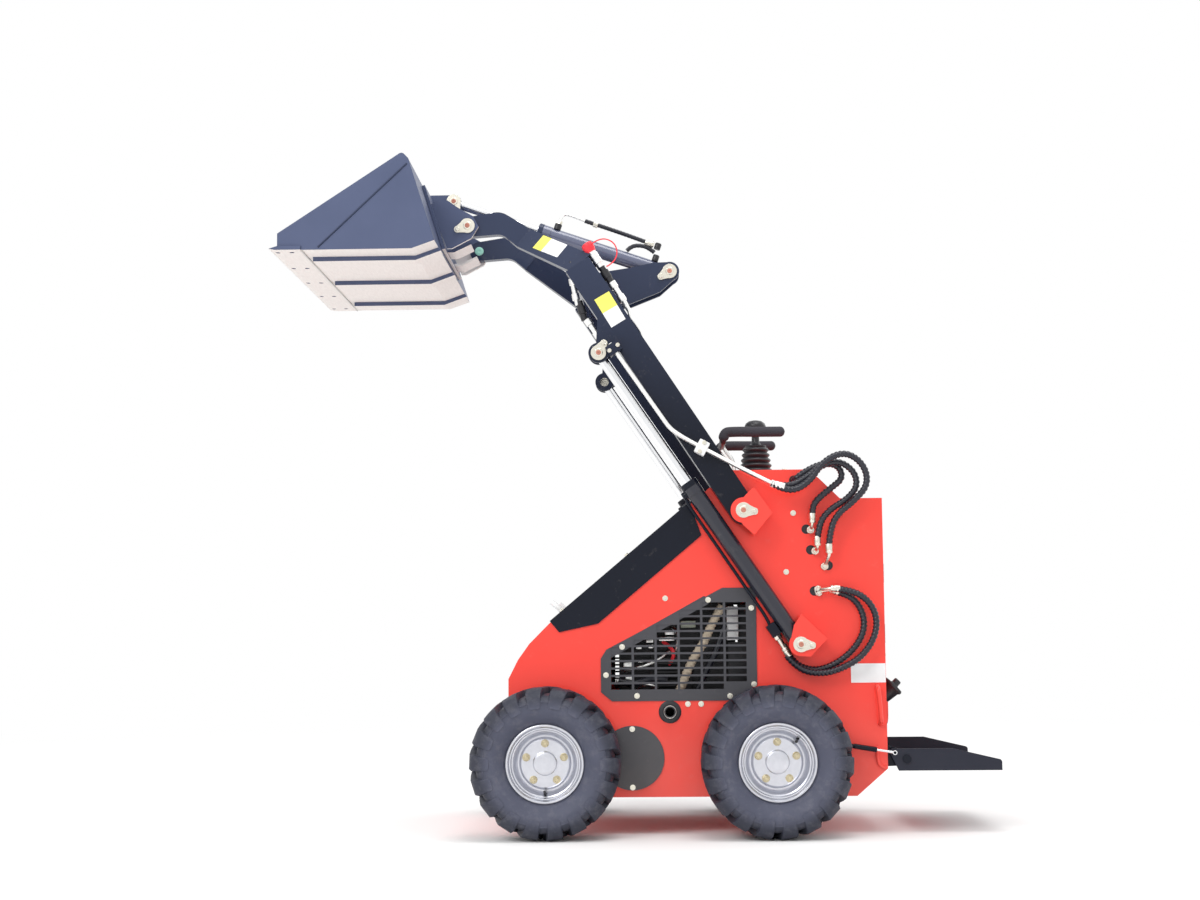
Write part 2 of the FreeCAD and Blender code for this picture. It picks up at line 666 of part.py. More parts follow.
def hood():
    """Black hood over the slope: a sheet with side flanges down over the side plates."""
    piece = Piece("hood")
    outer = "body_half + hood_gap + hood_sheet"
    inner = "body_half + hood_gap"
    length = "hypot(slope_foot_x - hood_end_x; hood_end_z - slope_foot_z)"
    at = ("slope_foot_x", "slope_foot_z")
    turn = "180 deg - " + SLOPE
    top = "-hood_gap - hood_sheet"
    low = "hood_flange - hood_sheet"
    piece.pad(
        "-(%s)" % outer, outer,
        [("0", top), (length, top), (length + " - 40", low), ("110", low), ("0", "0.4 * hood_flange")],
        at=at, turn=turn,
    )
    piece.cut(
        "-(%s)" % inner, inner,
        [("-20", "-hood_gap"), (length + " + 20", "-hood_gap"), (length + " + 20", "hood_flange + 20"),
         ("-20", "hood_flange + 20")],
        at=at, turn=turn,
    )
    keep(piece.body)


def grille():
    """Left engine grille: rows and columns of slots inside the grille's outline."""
    piece = Piece("grille_left")
    low = "body_half"
    high = "body_half + grille_sheet"
    piece.pad(low, high, GRILLE_EDGE)
    # columns: number of the column from the front, its lowest row, rows under the slanting edge
    slots = [(0, 0, 6), (1, 0, 7), (2, 0, 9), (3, 0, 11), (4, 0, 12), (5, 1, 11)]
    for column, lowest, rows in slots:
        left = "slot_first_x - %d * slot_pitch_x - slot_width / 2" % column
        under = "slot_first_z + %d * slot_pitch_z - slot_height / 2" % lowest
        slot = piece.cut(low, high, [
            (left, under), (left + " + slot_width", under),
            (left + " + slot_width", under + " + slot_height"), (left, under + " + slot_height"),
        ])
        repeat = piece.feature("PartDesign::LinearPattern", "rows")
        repeat.Originals = [slot]
        repeat.Direction = (slot.Profile[0], ["V_Axis"])
        repeat.Occurrences = rows
        repeat.setExpression("Length", formula("%d * slot_pitch_z" % (rows - 1)))
        piece.body.Tip = repeat
        doc.recompute()
    keep(piece.body)
    keep(mirrored(piece.body, "grille_right"))


def small_body_parts():
    """Chain covers, exhaust, axle housings, engine, filler, lamps."""
    piece = Piece("round_cover")
    piece.pad("body_half", "body_half + cover_thick", circles=[("cover_x", "cover_z", "cover_radius")])
    both_sides(piece, "round_covers")

    piece = Piece("housing")
    holes = [(x, AXLE_Z, "axle_radius + running_gap") for place, x, side in CORNERS if side > 0]
    rings = [(x, AXLE_Z, "housing_radius") for place, x, side in CORNERS if side > 0]
    piece.pad("body_half", "body_half + housing_length", circles=rings)
    piece.cut("body_half", "body_half + housing_length", circles=holes)
    both_sides(piece, "axle_housings")

    piece = Piece("exhaust_pipe")
    piece.pad(
        "engine_half_y", "body_half + exhaust_proud",
        circles=[("exhaust_x", "exhaust_z", "exhaust_radius"), ("exhaust_x", "exhaust_z", "exhaust_bore")],
    )
    keep(piece.body)

    piece = Piece("engine_block")
    piece.pad(
        "-engine_half_y", "engine_half_y",
        [("engine_rear_x", "engine_low_z"), ("engine_front_x", "engine_low_z"),
         ("engine_front_x", "engine_top_z", "30"), ("engine_rear_x", "engine_top_z", "30")],
    )
    piece.pad(
        "-sump_half_y", "sump_half_y",
        [("engine_rear_x + 40", "belly_z + skin"), ("engine_front_x - 40", "belly_z + skin"),
         ("engine_front_x - 40", "engine_low_z"), ("engine_rear_x + 40", "engine_low_z")],
    )
    keep(piece.body)

    piece = Piece("filler_neck")
    neck = "filler_neck_radius"
    cap = "filler_cap_radius"
    reach = "filler_reach"
    piece.spin(
        [("-filler_neck_radius", "0"), ("-filler_neck_radius", neck), (reach + " - 6", neck + " + 4"),
         (reach + " - 6", cap), (reach + " + 4", cap), (reach + " + 4", "10"), (reach + " + 24", "10"),
         (reach + " + 24", "0")],
        at=("rear_x - 6", "filler_z"), level="filler_y", turn="135",
    )
    piece.cut(
        "filler_y - 2 * filler_cap_radius", "filler_y + 2 * filler_cap_radius",
        [("rear_x", "filler_z - 90"), ("rear_x + 90", "filler_z - 90"),
         ("rear_x + 90", "filler_z + 90"), ("rear_x", "filler_z + 90")],
    )
    keep(piece.body)

    piece = Piece("headlamp")
    seat = "-2 * hood_gap - hood_sheet"
    piece.pad(
        "lamp_y - lamp_size / 2", "lamp_y + lamp_size / 2",
        [("lamp_along", seat), ("lamp_along + lamp_depth", seat),
         ("lamp_along + lamp_depth", seat + " - lamp_size"), ("lamp_along", seat + " - lamp_size")],
        at=("slope_foot_x", "slope_foot_z"), turn="180 deg - " + SLOPE,
    )
    both_sides(piece, "headlamps")


def keeper(piece, x, z, level, tail_angle):
    """Teardrop plate that keeps a pin from turning and holds it in."""
    reach = "keeper_tail"
    high = "(%s) + keeper_thick" % level
    piece.pad(level, high, circles=[("0", "0", "keeper_radius")], at=(x, z))
    piece.pad(
        level, high,
        [("0", "-keeper_radius"), (reach, "-keeper_tail_radius"),
         (reach + " + keeper_tail_radius", "-keeper_tail_radius", "keeper_tail_radius * 0.9"),
         (reach + " + keeper_tail_radius", "keeper_tail_radius", "keeper_tail_radius * 0.9"),
         (reach, "keeper_tail_radius"), ("0", "keeper_radius")],
        at=(x, z), turn=str(tail_angle),
    )


def pin(piece, x, z, low, high):
    """Plain pin along Y between two levels."""
    piece.pad(low, high, circles=[("0", "0", "pin_radius")], at=(x, z))


def bracket(label, x, z, edge, walls, round_end):
    """Red bracket outside the side plate: an outer plate on two walls, round about its pin."""
    piece = Piece(label)
    plate_low = "bracket_outer_y - bracket_plate"
    piece.pad(plate_low, "bracket_outer_y", edge, at=(x, z))
    piece.pad(plate_low, "bracket_outer_y", circles=[("0", "0", round_end)], at=(x, z))
    for wall in walls:
        piece.pad("body_half", plate_low, wall, at=(x, z))
    piece.cut(plate_low, "bracket_outer_y", circles=[("0", "0", "pin_radius")], at=(x, z))
    return piece


def strip(start, end, thick):
    """Corners of a straight wall from one point to another, its thickness to the pin's side."""
    run = math.hypot(end[0] - start[0], end[1] - start[1])
    aside = (-(end[1] - start[1]) / run * thick, (end[0] - start[0]) / run * thick)
    spots = [start, end, (end[0] + aside[0], end[1] + aside[1]), (start[0] + aside[0], start[1] + aside[1])]
    return [(str(x), str(z)) for x, z in spots]


def brackets():
    """Arm pivots and the lift cylinders' lower pins, on both sides of the body."""
    wall = amount("bracket_wall")
    upper_edge = [("0", "-39"), ("6", "-41"), ("-32", "-78"), ("-90", "-9"), ("-35", "69.5"), ("-26", "66"), ("0", "39")]
    upper = bracket(
        "arm_bracket", "arm_pivot_x", "arm_pivot_z", upper_edge,
        [strip((-36, 66), (-88, -9), wall), strip((-88, -9), (-33, -75), wall)], "39.5",
    )
    both_sides(upper, "arm_brackets")
    lower_edge = [("0", "-36"), ("-29", "-38"), ("-81.5", "17.4"), ("-3", "92.6"), ("20", "60"), ("30", "18")]
    lower = bracket(
        "cylinder_bracket", "lift_base_x", "lift_base_z", lower_edge,
        [strip((-6, 88), (-78, 17.4), wall), strip((-78, 17.4), (-31, -34), wall)], "36.4",
    )
    both_sides(lower, "cylinder_brackets")

    piece = Piece("chassis_pin")
    outside = "bracket_outer_y"
    for x, z, angle in (("arm_pivot_x", "arm_pivot_z", 187), ("lift_base_x", "lift_base_z", 185)):
        pin(piece, x, z, "body_half", outside)
        keeper(piece, x, z, outside, angle)
    both_sides(piece, "chassis_pins")


# Lift arms

ARM_AT = ("arm_pivot_x", "arm_pivot_z")


def arm():
    """Left arm: two side plates with ears, closed by a box between them, then the gooseneck."""
    piece = Piece("arm_left")
    half = "arm_half_depth"
    turn = "arm_angle"
    ear_x = "ear_along"
    ear_z = "-ear_down"
    reach = "ear_radius"
    piece.pad(
        "arm_inner_y", "arm_outer_y",
        [("0", "-" + half), ("arm_length", "-" + half), ("arm_length", half), ("0", half)],
        at=ARM_AT, turn=turn,
    )
    piece.pad("arm_inner_y", "arm_outer_y", circles=[("0", "0", half)], at=ARM_AT, turn=turn)
    ear_edge = [
        (ear_x + " - ear_radius * 0.8", "-" + half + " + 4"),
        (ear_x + " - ear_radius * 0.9", ear_z + " + 14"),
        (ear_x, ear_z),
        (ear_x + " + ear_radius * 0.94", ear_z + " + 11"),
        (ear_x + " + 98", "-" + half + " + 4"),
    ]
    levels = [("arm_inner_y", "arm_inner_y + arm_wall"), ("arm_outer_y - arm_wall", "arm_outer_y")]
    for low, high in levels:
        piece.pad(low, high, ear_edge, at=ARM_AT, turn=turn)
        piece.pad(low, high, circles=[(ear_x, ear_z, reach)], at=ARM_AT, turn=turn)
    piece.rectangle_loft([
        ("elbow_x", "elbow_z", "elbow_tilt", "arm_inner_y", "arm_outer_y", "2 * arm_half_depth - 2"),
        ("neck_x", "neck_z", "neck_tilt", "goose_inner_y", "goose_outer_y", "goose_depth"),
    ])
    piece.pad(
        "goose_inner_y", "goose_outer_y",
        [("neck_x - goose_depth / 2 * sin(neck_tilt) - 3", "neck_z + goose_depth / 2 * cos(neck_tilt) - 2"),
         ("430", "1987", "60"), ("hitch_x", "hitch_z + neck_end_radius"),
         ("hitch_x", "hitch_z - neck_end_radius"), ("426", "1912", "50"),
         ("neck_x + goose_depth / 2 * sin(neck_tilt) - 3", "neck_z - goose_depth / 2 * cos(neck_tilt) - 2")],
    )
    piece.pad(
        "goose_inner_y", "goose_outer_y", circles=[("hitch_x", "hitch_z", "neck_end_radius")],
    )
    piece.cut("arm_inner_y", "arm_outer_y", circles=[("0", "0", "pin_radius + running_gap")], at=ARM_AT)
    piece.cut("arm_inner_y", "arm_outer_y", circles=[(ear_x, ear_z, "pin_radius")], at=ARM_AT, turn=turn)
    piece.cut("goose_inner_y", "goose_outer_y", circles=[("hitch_x", "hitch_z", "pin_radius")])
    keep(piece.body)
    keep(mirrored(piece.body, "arm_right"))


def arm_cross_members():
    """Cross tube between the arms, and the horn that carries the tilt cylinder."""
    piece = Piece("cross_tube")
    along = "cross_along"
    size = "cross_half_length"
    depth = "cross_half_depth"
    piece.pad(
        "-arm_inner_y", "arm_inner_y",
        [(along + " - " + size, "-" + depth), (along + " + " + size, "-" + depth),
         (along + " + " + size, depth), (along + " - " + size, depth)],
        at=ARM_AT, turn="arm_angle",
    )
    keep(piece.body)

    piece = Piece("horn")
    edge = [
        ("150", "1809"), ("12", "1829"), ("-63", "1845"), ("horn_x", "horn_z + horn_radius - 1"),
        ("horn_x - 28", "horn_z - 16"), ("-85", "1746"), ("14", "1707"), ("112", "1698"),
    ]
    piece.pad("horn_gap_half", "horn_gap_half + horn_plate", edge)
    piece.pad("horn_gap_half", "horn_gap_half + horn_plate", circles=[("horn_x", "horn_z", "horn_radius")])
    piece.cut("horn_gap_half", "horn_gap_half + horn_plate", circles=[("horn_x", "horn_z", "pin_radius")])
    # room for the cross tube, which the plates stand on
    piece.cut(
        "horn_gap_half", "horn_gap_half + horn_plate",
        [(along + " - " + size, "-200"), (along + " + 200", "-200"), (along + " + 200", depth),
         (along + " - " + size, depth)],
        at=ARM_AT, turn="arm_angle",
    )
    both_sides(piece, "cylinder_horn")


def arm_pins():
    """Hitch pins and the stub pins in the lift cylinders' ears, with their keepers."""
    piece = Piece("arm_pin")
    outside = "cheek_inner_y + cheek_plate"
    pin(piece, "hitch_x", "hitch_z", "goose_inner_y", outside + " + 1")
    keeper(piece, "hitch_x", "hitch_z", outside + " + 1", 340)
    both_sides(piece, "hitch_pins")

    piece = Piece("ear_pin")
    ear_x = "arm_pivot_x + ear_along * cos(arm_angle) + ear_down * sin(arm_angle)"
    ear_z = "arm_pivot_z + ear_along * sin(arm_angle) - ear_down * cos(arm_angle)"
    pin(piece, ear_x, ear_z, "arm_outer_y - arm_wall", "arm_outer_y")
    keeper(piece, ear_x, ear_z, "arm_outer_y", 120)
    both_sides(piece, "ear_pins")

    piece = Piece("horn_pin")
    outside = "horn_gap_half + horn_plate"
    pin(piece, "horn_x", "horn_z", "-(%s)" % outside, outside)
    keeper(piece, "horn_x", "horn_z", outside, 328)
    keep(piece.body)


# Cylinders

LIFT_ANGLE = (
    "atan2(arm_pivot_z + ear_along * sin(arm_angle) - ear_down * cos(arm_angle) - lift_base_z;"
    " arm_pivot_x + ear_along * cos(arm_angle) + ear_down * sin(arm_angle) - lift_base_x)"
)
LIFT_LENGTH = (
    "hypot(arm_pivot_z + ear_along * sin(arm_angle) - ear_down * cos(arm_angle) - lift_base_z;"
    " arm_pivot_x + ear_along * cos(arm_angle) + ear_down * sin(arm_angle) - lift_base_x)"
)
TILT_ANGLE = "atan2(tilt_pin_z - horn_z; tilt_pin_x - horn_x)"
TILT_LENGTH = "hypot(tilt_pin_z - horn_z; tilt_pin_x - horn_x)"


def barrel(label, at, level, turn, length, radius, bore, eye, rod):
    """Cylinder barrel with its base eye, bore and gland, along the sketch's own axis."""
    piece = Piece(label)
    step = radius + " + gland_step"
    guide = rod + " + running_gap"
    piece.spin(
        [("0", "0"), ("0", radius + " - 2"), (eye, radius), (length + " - gland_length", radius),
         (length + " - gland_length", step), (length, step), (length, guide),
         (length + " - gland_length", guide), (length + " - gland_length", bore), ("base_wall", bore),
         ("base_wall", "0")],
        at=at, level=level, turn=turn,
    )
    low = "(%s) - eye_half_width" % level
    high = "(%s) + eye_half_width" % level
    piece.pad(low, high, circles=[("0", "0", eye)], at=at, turn=turn)
    piece.cut(low + " - 30", high + " + 30", circles=[("0", "0", "pin_radius + running_gap")], at=at, turn=turn)
    return piece


def rod(label, at, level, turn, start, length, radius, eye):
    """Cylinder rod with its eye."""
    piece = Piece(label)
    piece.spin(
        [(start, "0"), (start, radius), (length, radius), (length, "0")], at=at, level=level, turn=turn,
    )
    low = "(%s) - eye_half_width" % level
    high = "(%s) + eye_half_width" % level
    piece.pad(low, high, circles=[(length, "0", eye)], at=at, turn=turn)
    piece.cut(low + " - 10", high + " + 10", circles=[(length, "0", "pin_radius + 1")], at=at, turn=turn)
    return piece


def cylinders():
    """Two lift cylinders and the tilt cylinder, each a barrel and a rod."""
    at = ("lift_base_x", "lift_base_z")
    piece = barrel(
        "lift_barrel", at, "lift_cylinder_y", LIFT_ANGLE, "lift_barrel_length",
        "lift_barrel_radius", "lift_bore_radius", "lift_base_radius", "lift_rod_radius",
    )
    both_sides(piece, "lift_barrels")
    piece = rod(
        "lift_rod", at, "lift_cylinder_y", LIFT_ANGLE, "lift_barrel_length - gland_length - 30",
        LIFT_LENGTH, "lift_rod_radius", "lift_eye_radius",
    )
    both_sides(piece, "lift_rods")
    at = ("horn_x", "horn_z")
    piece = barrel(
        "tilt_barrel", at, "0", TILT_ANGLE, "tilt_barrel_length",
        "tilt_barrel_radius", "tilt_bore_radius", "tilt_barrel_radius + 1", "tilt_rod_radius",
    )
    keep(piece.body)
    piece = rod(
        "tilt_rod", at, "0", TILT_ANGLE, "tilt_barrel_length - gland_length - 100",
        TILT_LENGTH, "tilt_rod_radius", "tilt_eye_radius",
    )
    keep(piece.body)


# Hitch and bucket

BACK_AT = ("back_foot_x", "back_foot_z")
BACK_TURN = "90 - back_angle"


def hitch():
    """Quick hitch: face plate behind the bucket, outer cheeks and the tilt rod's ears."""
    piece = Piece("hitch_frame")
    near = "hitch_gap"
    far = "hitch_gap + hitch_plate"
    piece.pad(
        "-hitch_plate_half", "hitch_plate_half",
        [("30", near), ("250", near), ("250", far), ("30", far)],
        at=BACK_AT, turn=BACK_TURN,
    )
    cheek_high = "cheek_inner_y + cheek_plate"
    cheek = [
        ("hitch_x - 12", "hitch_z - 41"), ("hitch_x + 50", "hitch_z - 73"), ("hitch_x + 66", "hitch_z - 73"),
        ("hitch_x + 125", "hitch_z + 73"), ("hitch_x + 66", "hitch_z + 86"), ("hitch_x + 30", "hitch_z + 60"),
        ("hitch_x - 18", "hitch_z + 32"), ("hitch_x - 36", "hitch_z - 2"),
    ]
    ears = [
        ("hitch_x + 66", "hitch_z - 20"), ("hitch_x + 160", "hitch_z + 150"), ("tilt_pin_x + 12", "tilt_pin_z + 22"),
        ("tilt_pin_x - 22", "tilt_pin_z + 12"), ("tilt_pin_x - 22", "tilt_pin_z - 22"),
    ]
    for side in (1, -1):
        low, high = ("cheek_inner_y", cheek_high) if side > 0 else ("-(%s)" % cheek_high, "-cheek_inner_y")
        piece.pad(low, high, cheek)
        low, high = ("ear_gap_half", "ear_gap_half + ear_plate")
        if side < 0:
            low, high = ("-ear_gap_half - ear_plate", "-ear_gap_half")
        piece.pad(low, high, ears)
        piece.pad(low, high, circles=[("tilt_pin_x", "tilt_pin_z", "24")])
    # nothing of the hitch stands past its face
    piece.cut(
        "-hitch_plate_half", "hitch_plate_half",
        [("-80", near), ("-80", "-200"), ("400", "-200"), ("400", near)],
        at=BACK_AT, turn=BACK_TURN,
    )
    piece.cut("-cheek_inner_y - cheek_plate", "cheek_inner_y + cheek_plate",
              circles=[("hitch_x", "hitch_z", "pin_radius + running_gap")])
    piece.cut("-ear_gap_half - ear_plate", "ear_gap_half + ear_plate",
              circles=[("tilt_pin_x", "tilt_pin_z", "pin_radius")])
    keep(piece.body)

    piece = Piece("tilt_ear_pin")
    pin(piece, "tilt_pin_x", "tilt_pin_z", "ear_gap_half", "ear_gap_half + ear_plate")
    keeper(piece, "tilt_pin_x", "tilt_pin_z", "ear_gap_half + ear_plate", 250)
    both_sides(piece, "tilt_ear_pins")


def bucket():
    """Bucket: bent sheet of floor and back between two side plates, edge and runners."""
    piece = Piece("bucket_shell")
    top_x = "back_foot_x + back_length * sin(back_angle)"
    top_z = "back_foot_z + back_length * cos(back_angle)"
    side = [
        ("floor_rear_x", "floor_z"), ("floor_front_x", "floor_z"), ("side_tip_x", "floor_z + edge_thick"),
        ("side_tip_x", "side_tip_top_z"), (top_x + " + 19", top_z + " + 20", "12"), (top_x, top_z),
        ("back_foot_x", "back_foot_z"),
    ]
    piece.pad("-bucket_half", "bucket_half", side)
    inside = [
        ("floor_rear_x + 2", "floor_z + bucket_sheet"), ("side_tip_x + 60", "floor_z + bucket_sheet"),
        ("side_tip_x + 60", "side_tip_top_z + 400"), (top_x + " + bucket_sheet", "side_tip_top_z + 400"),
        (top_x + " + bucket_sheet", top_z), ("back_foot_x + bucket_sheet + 1", "back_foot_z + 2"),
    ]
    piece.cut("-bucket_half + bucket_side", "bucket_half - bucket_side", inside)
    # the cutting edge passes under the front of the sides
    piece.cut(
        "-bucket_half", "bucket_half",
        [("floor_front_x", "floor_z"), ("edge_tip_x", "floor_z"), ("edge_tip_x", "floor_z + edge_thick"),
         ("floor_front_x", "floor_z + edge_thick")],
    )
    keep(piece.body)

    piece = Piece("cutting_edge")
    piece.pad(
        "-edge_half", "edge_half",
        [("floor_front_x", "floor_z"), ("edge_tip_x - 18", "floor_z"), ("edge_tip_x", "floor_z + 4"),
         ("edge_tip_x - 26", "floor_z + edge_thick"), ("floor_front_x", "floor_z + edge_thick")],
    )
    holes = []
    for place in range(-2, 3):
        for back in ("0", "edge_hole_gap"):
            holes.append(("edge_hole_x - " + back, "%d * edge_hole_pitch" % place, "edge_hole_radius"))
    piece.cut("floor_z", "floor_z + edge_thick", circles=holes, plane="XY_Plane")
    keep(piece.body)

    piece = Piece("runners")
    low = "floor_z - runner_thick"
    bend = "floor_rear_x + 1"
    for place in (-1, 0, 1):
        middle = "%d * runner_pitch" % place
        piece.pad(
            middle + " - runner_half", middle + " + runner_half",
            [(bend, low), ("runner_front_x", low), ("runner_front_x", "floor_z"), ("floor_rear_x", "floor_z"),
             ("back_foot_x", "back_foot_z"), ("back_foot_x - 8", "back_foot_z - 10")],
        )
    keep(piece.body)


# Platform

def platform():
    """Fold-up rear platform: floor and two sides, with its hinge pins and ears."""
    piece = Piece("platform")
    sheet_thick = "platform_sheet"
    low = "platform_low_z"
    side = [
        ("platform_front_x - 22", low), ("platform_end_x", low), ("platform_end_x", "platform_end_z", "10"),
        ("platform_kink_x", "platform_top_z"), ("platform_front_x", "platform_top_z"),
        ("platform_front_x + 3", "platform_top_z - 15"),
    ]
    inner = "platform_half - platform_sheet"
    piece.pad(inner, "platform_half", side)
    piece.pad("-platform_half", "-(%s)" % inner, side)
    front = "rear_x - 92"
    piece.pad(
        "-(%s)" % inner, inner,
        [("platform_end_x", low), (front, low), (front, low + " + platform_sheet"),
         ("platform_end_x", low + " + platform_sheet")],
    )
    at = ("platform_pivot_x", "platform_pivot_z")
    piece.cut(inner, "platform_half", circles=[("0", "0", "hinge_pin_radius + running_gap")], at=at)
    piece.cut("-platform_half", "-(%s)" % inner, circles=[("0", "0", "hinge_pin_radius + running_gap")], at=at)
    keep(piece.body)

    piece = Piece("hinge_ear_one")
    reach = "body_half - side_plate - 8"
    piece.pad(
        reach + " - hinge_ear", reach,
        [("rear_x", "platform_pivot_z - 24"), ("rear_x", "platform_pivot_z + 40"),
         ("platform_pivot_x", "platform_pivot_z + hinge_ear_radius"),
         ("platform_pivot_x", "platform_pivot_z - hinge_ear_radius")],
    )
    piece.pad(reach + " - hinge_ear", reach, circles=[("platform_pivot_x", "platform_pivot_z", "hinge_ear_radius")])
    pin_low = reach + " - hinge_ear"
    piece.pad(pin_low, "platform_half + 6", circles=[("platform_pivot_x", "platform_pivot_z", "hinge_pin_radius")])
    piece.pad("platform_half + 1", "platform_half + 6", circles=[("platform_pivot_x", "platform_pivot_z", "13")])
    both_sides(piece, "platform_hinges")


STRUT_ANGLE = "atan2(strut_tip_z - strut_base_z; strut_tip_x - strut_base_x)"
STRUT_LENGTH = "hypot(strut_tip_z - strut_base_z; strut_tip_x - strut_base_x)"


def struts():
    """Gas struts between the body's sides and the platform."""
    at = ("strut_base_x", "strut_base_z")
    low = "strut_y - strut_radius + 1"
    piece = Piece("strut_tube_one")
    piece.spin(
        [("0", "0"), ("0", "strut_radius - 3"), ("12", "strut_radius"), ("strut_tube_length", "strut_radius"),
         ("strut_tube_length", "strut_rod_radius + running_gap"),
         ("strut_tube_length - 8", "strut_rod_radius + running_gap"), ("strut_tube_length - 8", "strut_bore"),
         ("20", "strut_bore"), ("20", "0")],
        at=at, level="strut_y", turn=STRUT_ANGLE,
    )
    piece.pad(low, "strut_y + strut_radius - 1", circles=[("0", "0", "ball_radius")], at=at)
    piece.cut(low, "strut_y + strut_radius - 1", circles=[("0", "0", "stud_radius + running_gap")], at=at)
    both_sides(piece, "strut_tubes")

    piece = Piece("strut_rod_one")
    length = STRUT_LENGTH
    piece.spin(
        [("strut_tube_length - 40", "0"), ("strut_tube_length - 40", "strut_rod_radius"), (length, "strut_rod_radius"),
         (length, "0")],
        at=at, level="strut_y", turn=STRUT_ANGLE,
    )
    piece.pad(low, "strut_y + strut_radius - 1", circles=[(length, "0", "ball_radius")], at=at, turn=STRUT_ANGLE)
    piece.cut(low, "strut_y + strut_radius - 1", circles=[(length, "0", "stud_radius + 1.5")], at=at, turn=STRUT_ANGLE)
    both_sides(piece, "strut_rods")

    piece = Piece("strut_stud_one")
    piece.pad("body_half", "strut_y + strut_radius", circles=[("0", "0", "stud_radius")], at=at)
    both_sides(piece, "strut_studs")


# Controls

def controls():
    """Cross bar with two fore-and-aft hand grips, and the joystick, on the console's top."""
    piece = Piece("hand_bar")
    piece.pad("-grip_y", "grip_y", circles=[("bar_x", "bar_z", "bar_radius")])
    for side in ("grip_y", "-grip_y"):
        piece.pad("grip_rear_x + 8", "grip_front_x", circles=[(side, "grip_z", "grip_radius")],
                  plane="YZ_Plane")
        piece.pad("grip_rear_x", "grip_rear_x + 8", circles=[(side, "grip_z", "0.7 * grip_radius")],
                  plane="YZ_Plane")
        piece.pad("bar_z", "grip_z", circles=[("bar_x", side, "bar_radius")], plane="XY_Plane")
    for side in ("bar_foot_y", "-bar_foot_y"):
        piece.pad(
            side + " - bar_foot_half", side + " + bar_foot_half",
            [("bar_foot_x", "console_z"), ("bar_foot_x + 20", "console_z"), ("bar_x + 9", "bar_z"),
             ("bar_x - 9", "bar_z")],
        )
    keep(piece.body)

    foot = amount("bellows_radius")
    top = amount("bellows_top_radius")
    height = amount("bellows_height")
    stem = amount("knob_z - console_z")
    knob = amount("knob_radius")
    profile = [(0, 0), (foot, 0)]
    folds = 5
    for i in range(folds):
        middle = foot - (foot - top) * (i + 0.5) / folds
        profile.append((middle - 6, height * (i + 0.5) / folds))
        profile.append((foot - (foot - top) * (i + 1) / folds, height * (i + 1) / folds))
    profile += [(7, height + 6), (7, stem - 52), (knob, stem - 38), (knob, stem - 10), (knob - 8, stem), (0, stem)]
    shape = faceted_turning(profile, 16)
    shape.rotate(FreeCAD.Vector(), FreeCAD.Vector(1, 0, 0), 90)
    piece = keep(doc.addObject("Part::Feature", "joystick"))
    piece.Shape = shape
    piece.Placement.Base = FreeCAD.Vector(amount("lever_x"), 0, amount("console_z"))


def tube(points, radius):
    """Tube along straight runs joined by tangent arcs, each arc as large as its two runs allow."""
    spots = [FreeCAD.Vector(*point) for point in points]
    edges = []
    start = spots[0]
    length = 0
    tightest = 1e9
    for before, corner, after in zip(spots, spots[1:], spots[2:]):
        into = (corner - before).normalize()
        out = (after - corner).normalize()
        turn = into.getAngle(out)
        reach = 0.45 * min(before.distanceToPoint(corner), corner.distanceToPoint(after))
        bend = reach / math.tan(turn / 2)
        inside = (out - into).normalize()
        middle = corner + inside * (bend / math.cos(turn / 2) - bend)
        entry = corner - into * reach
        leave = corner + out * reach
        edges += [Part.LineSegment(start, entry).toShape(), Part.Arc(entry, middle, leave).toShape()]
        length += start.distanceToPoint(entry) + bend * turn
        tightest = min(tightest, bend)
        start = leave
    edges.append(Part.LineSegment(start, spots[-1]).toShape())
    length += start.distanceToPoint(spots[-1])
    ring = Part.Wire(Part.Circle(spots[0], spots[1] - spots[0], radius).toShape())
    shape = Part.Wire(edges).makePipeShell([ring], True, False)
    share = shape.Volume / (math.pi * radius ** 2 * length)
    print("tube of %.0f mm, tightest bend %.0f mm, volume share %.3f" % (length, tightest, share))
    return shape


def with_mirror(shapes):
    """The shapes and their mirror images on the loader's right side."""
    return shapes + [shape.mirror(FreeCAD.Vector(), FreeCAD.Vector(0, 1, 0)) for shape in shapes]


# Hoses, by points chosen by hand: x, y, z
LOOP_HOSES = [
    [(-421, 396, 1077.5), (-468, 395, 1060), (-532, 391, 1084), (-583, 388, 1146), (-650, 385, 1174),
     (-707, 380, 1136), (-722, 374, 1072), (-676, 366, 1020), (-618, 357, 976), (-599, 351, 912),
     (-597, 347, 862), (-596, 345, 820), (-596, 305.2, 820)],
    [(-421, 377, 1077.5), (-470, 372, 1064), (-527, 364, 1092), (-578, 360, 1134), (-634, 358, 1148),
     (-681, 356, 1114), (-690, 353, 1066), (-655, 350, 1026), (-602, 347, 996), (-566, 345, 952),
     (-557, 344, 912), (-555, 344, 872), (-555, 305.2, 872)],
    [(-496, 305.2, 1092), (-496, 334, 1092), (-534, 336, 1120), (-584, 336, 1142), (-634, 334, 1136),
     (-648, 333, 1094), (-606, 333, 1062), (-562, 335, 1026), (-546, 336, 980), (-544, 336, 936),
     (-544, 305.2, 936)],
]
# the lower pair, as far as the lift cylinder's foot leaves room when it swings
CYLINDER_HOSES = [
    [(-565, 305.2, 748), (-565, 348, 748), (-610, 352, 750), (-668, 352, 745), (-718, 351, 712),
     (-742, 350, 660), (-734, 348, 600), (-694, 346, 542), (-642, 345, 510), (-584, 345, 490)],
    [(-592, 305.2, 716), (-592, 329, 716), (-626, 330, 716), (-668, 329, 702), (-695, 329, 660),
     (-692, 328, 606), (-658, 327, 556), (-602, 326, 516)],
]
# in the lift cylinder's own frame: along it, across, side; from the port down towards the foot
HOSE_ENDS = [
    [(62, -43, 347), (26, -43, 347), (-19.7, -49.5, 347)],
    [(62, -43, 328), (30, -43, 328), (-14, -48, 328)],
]


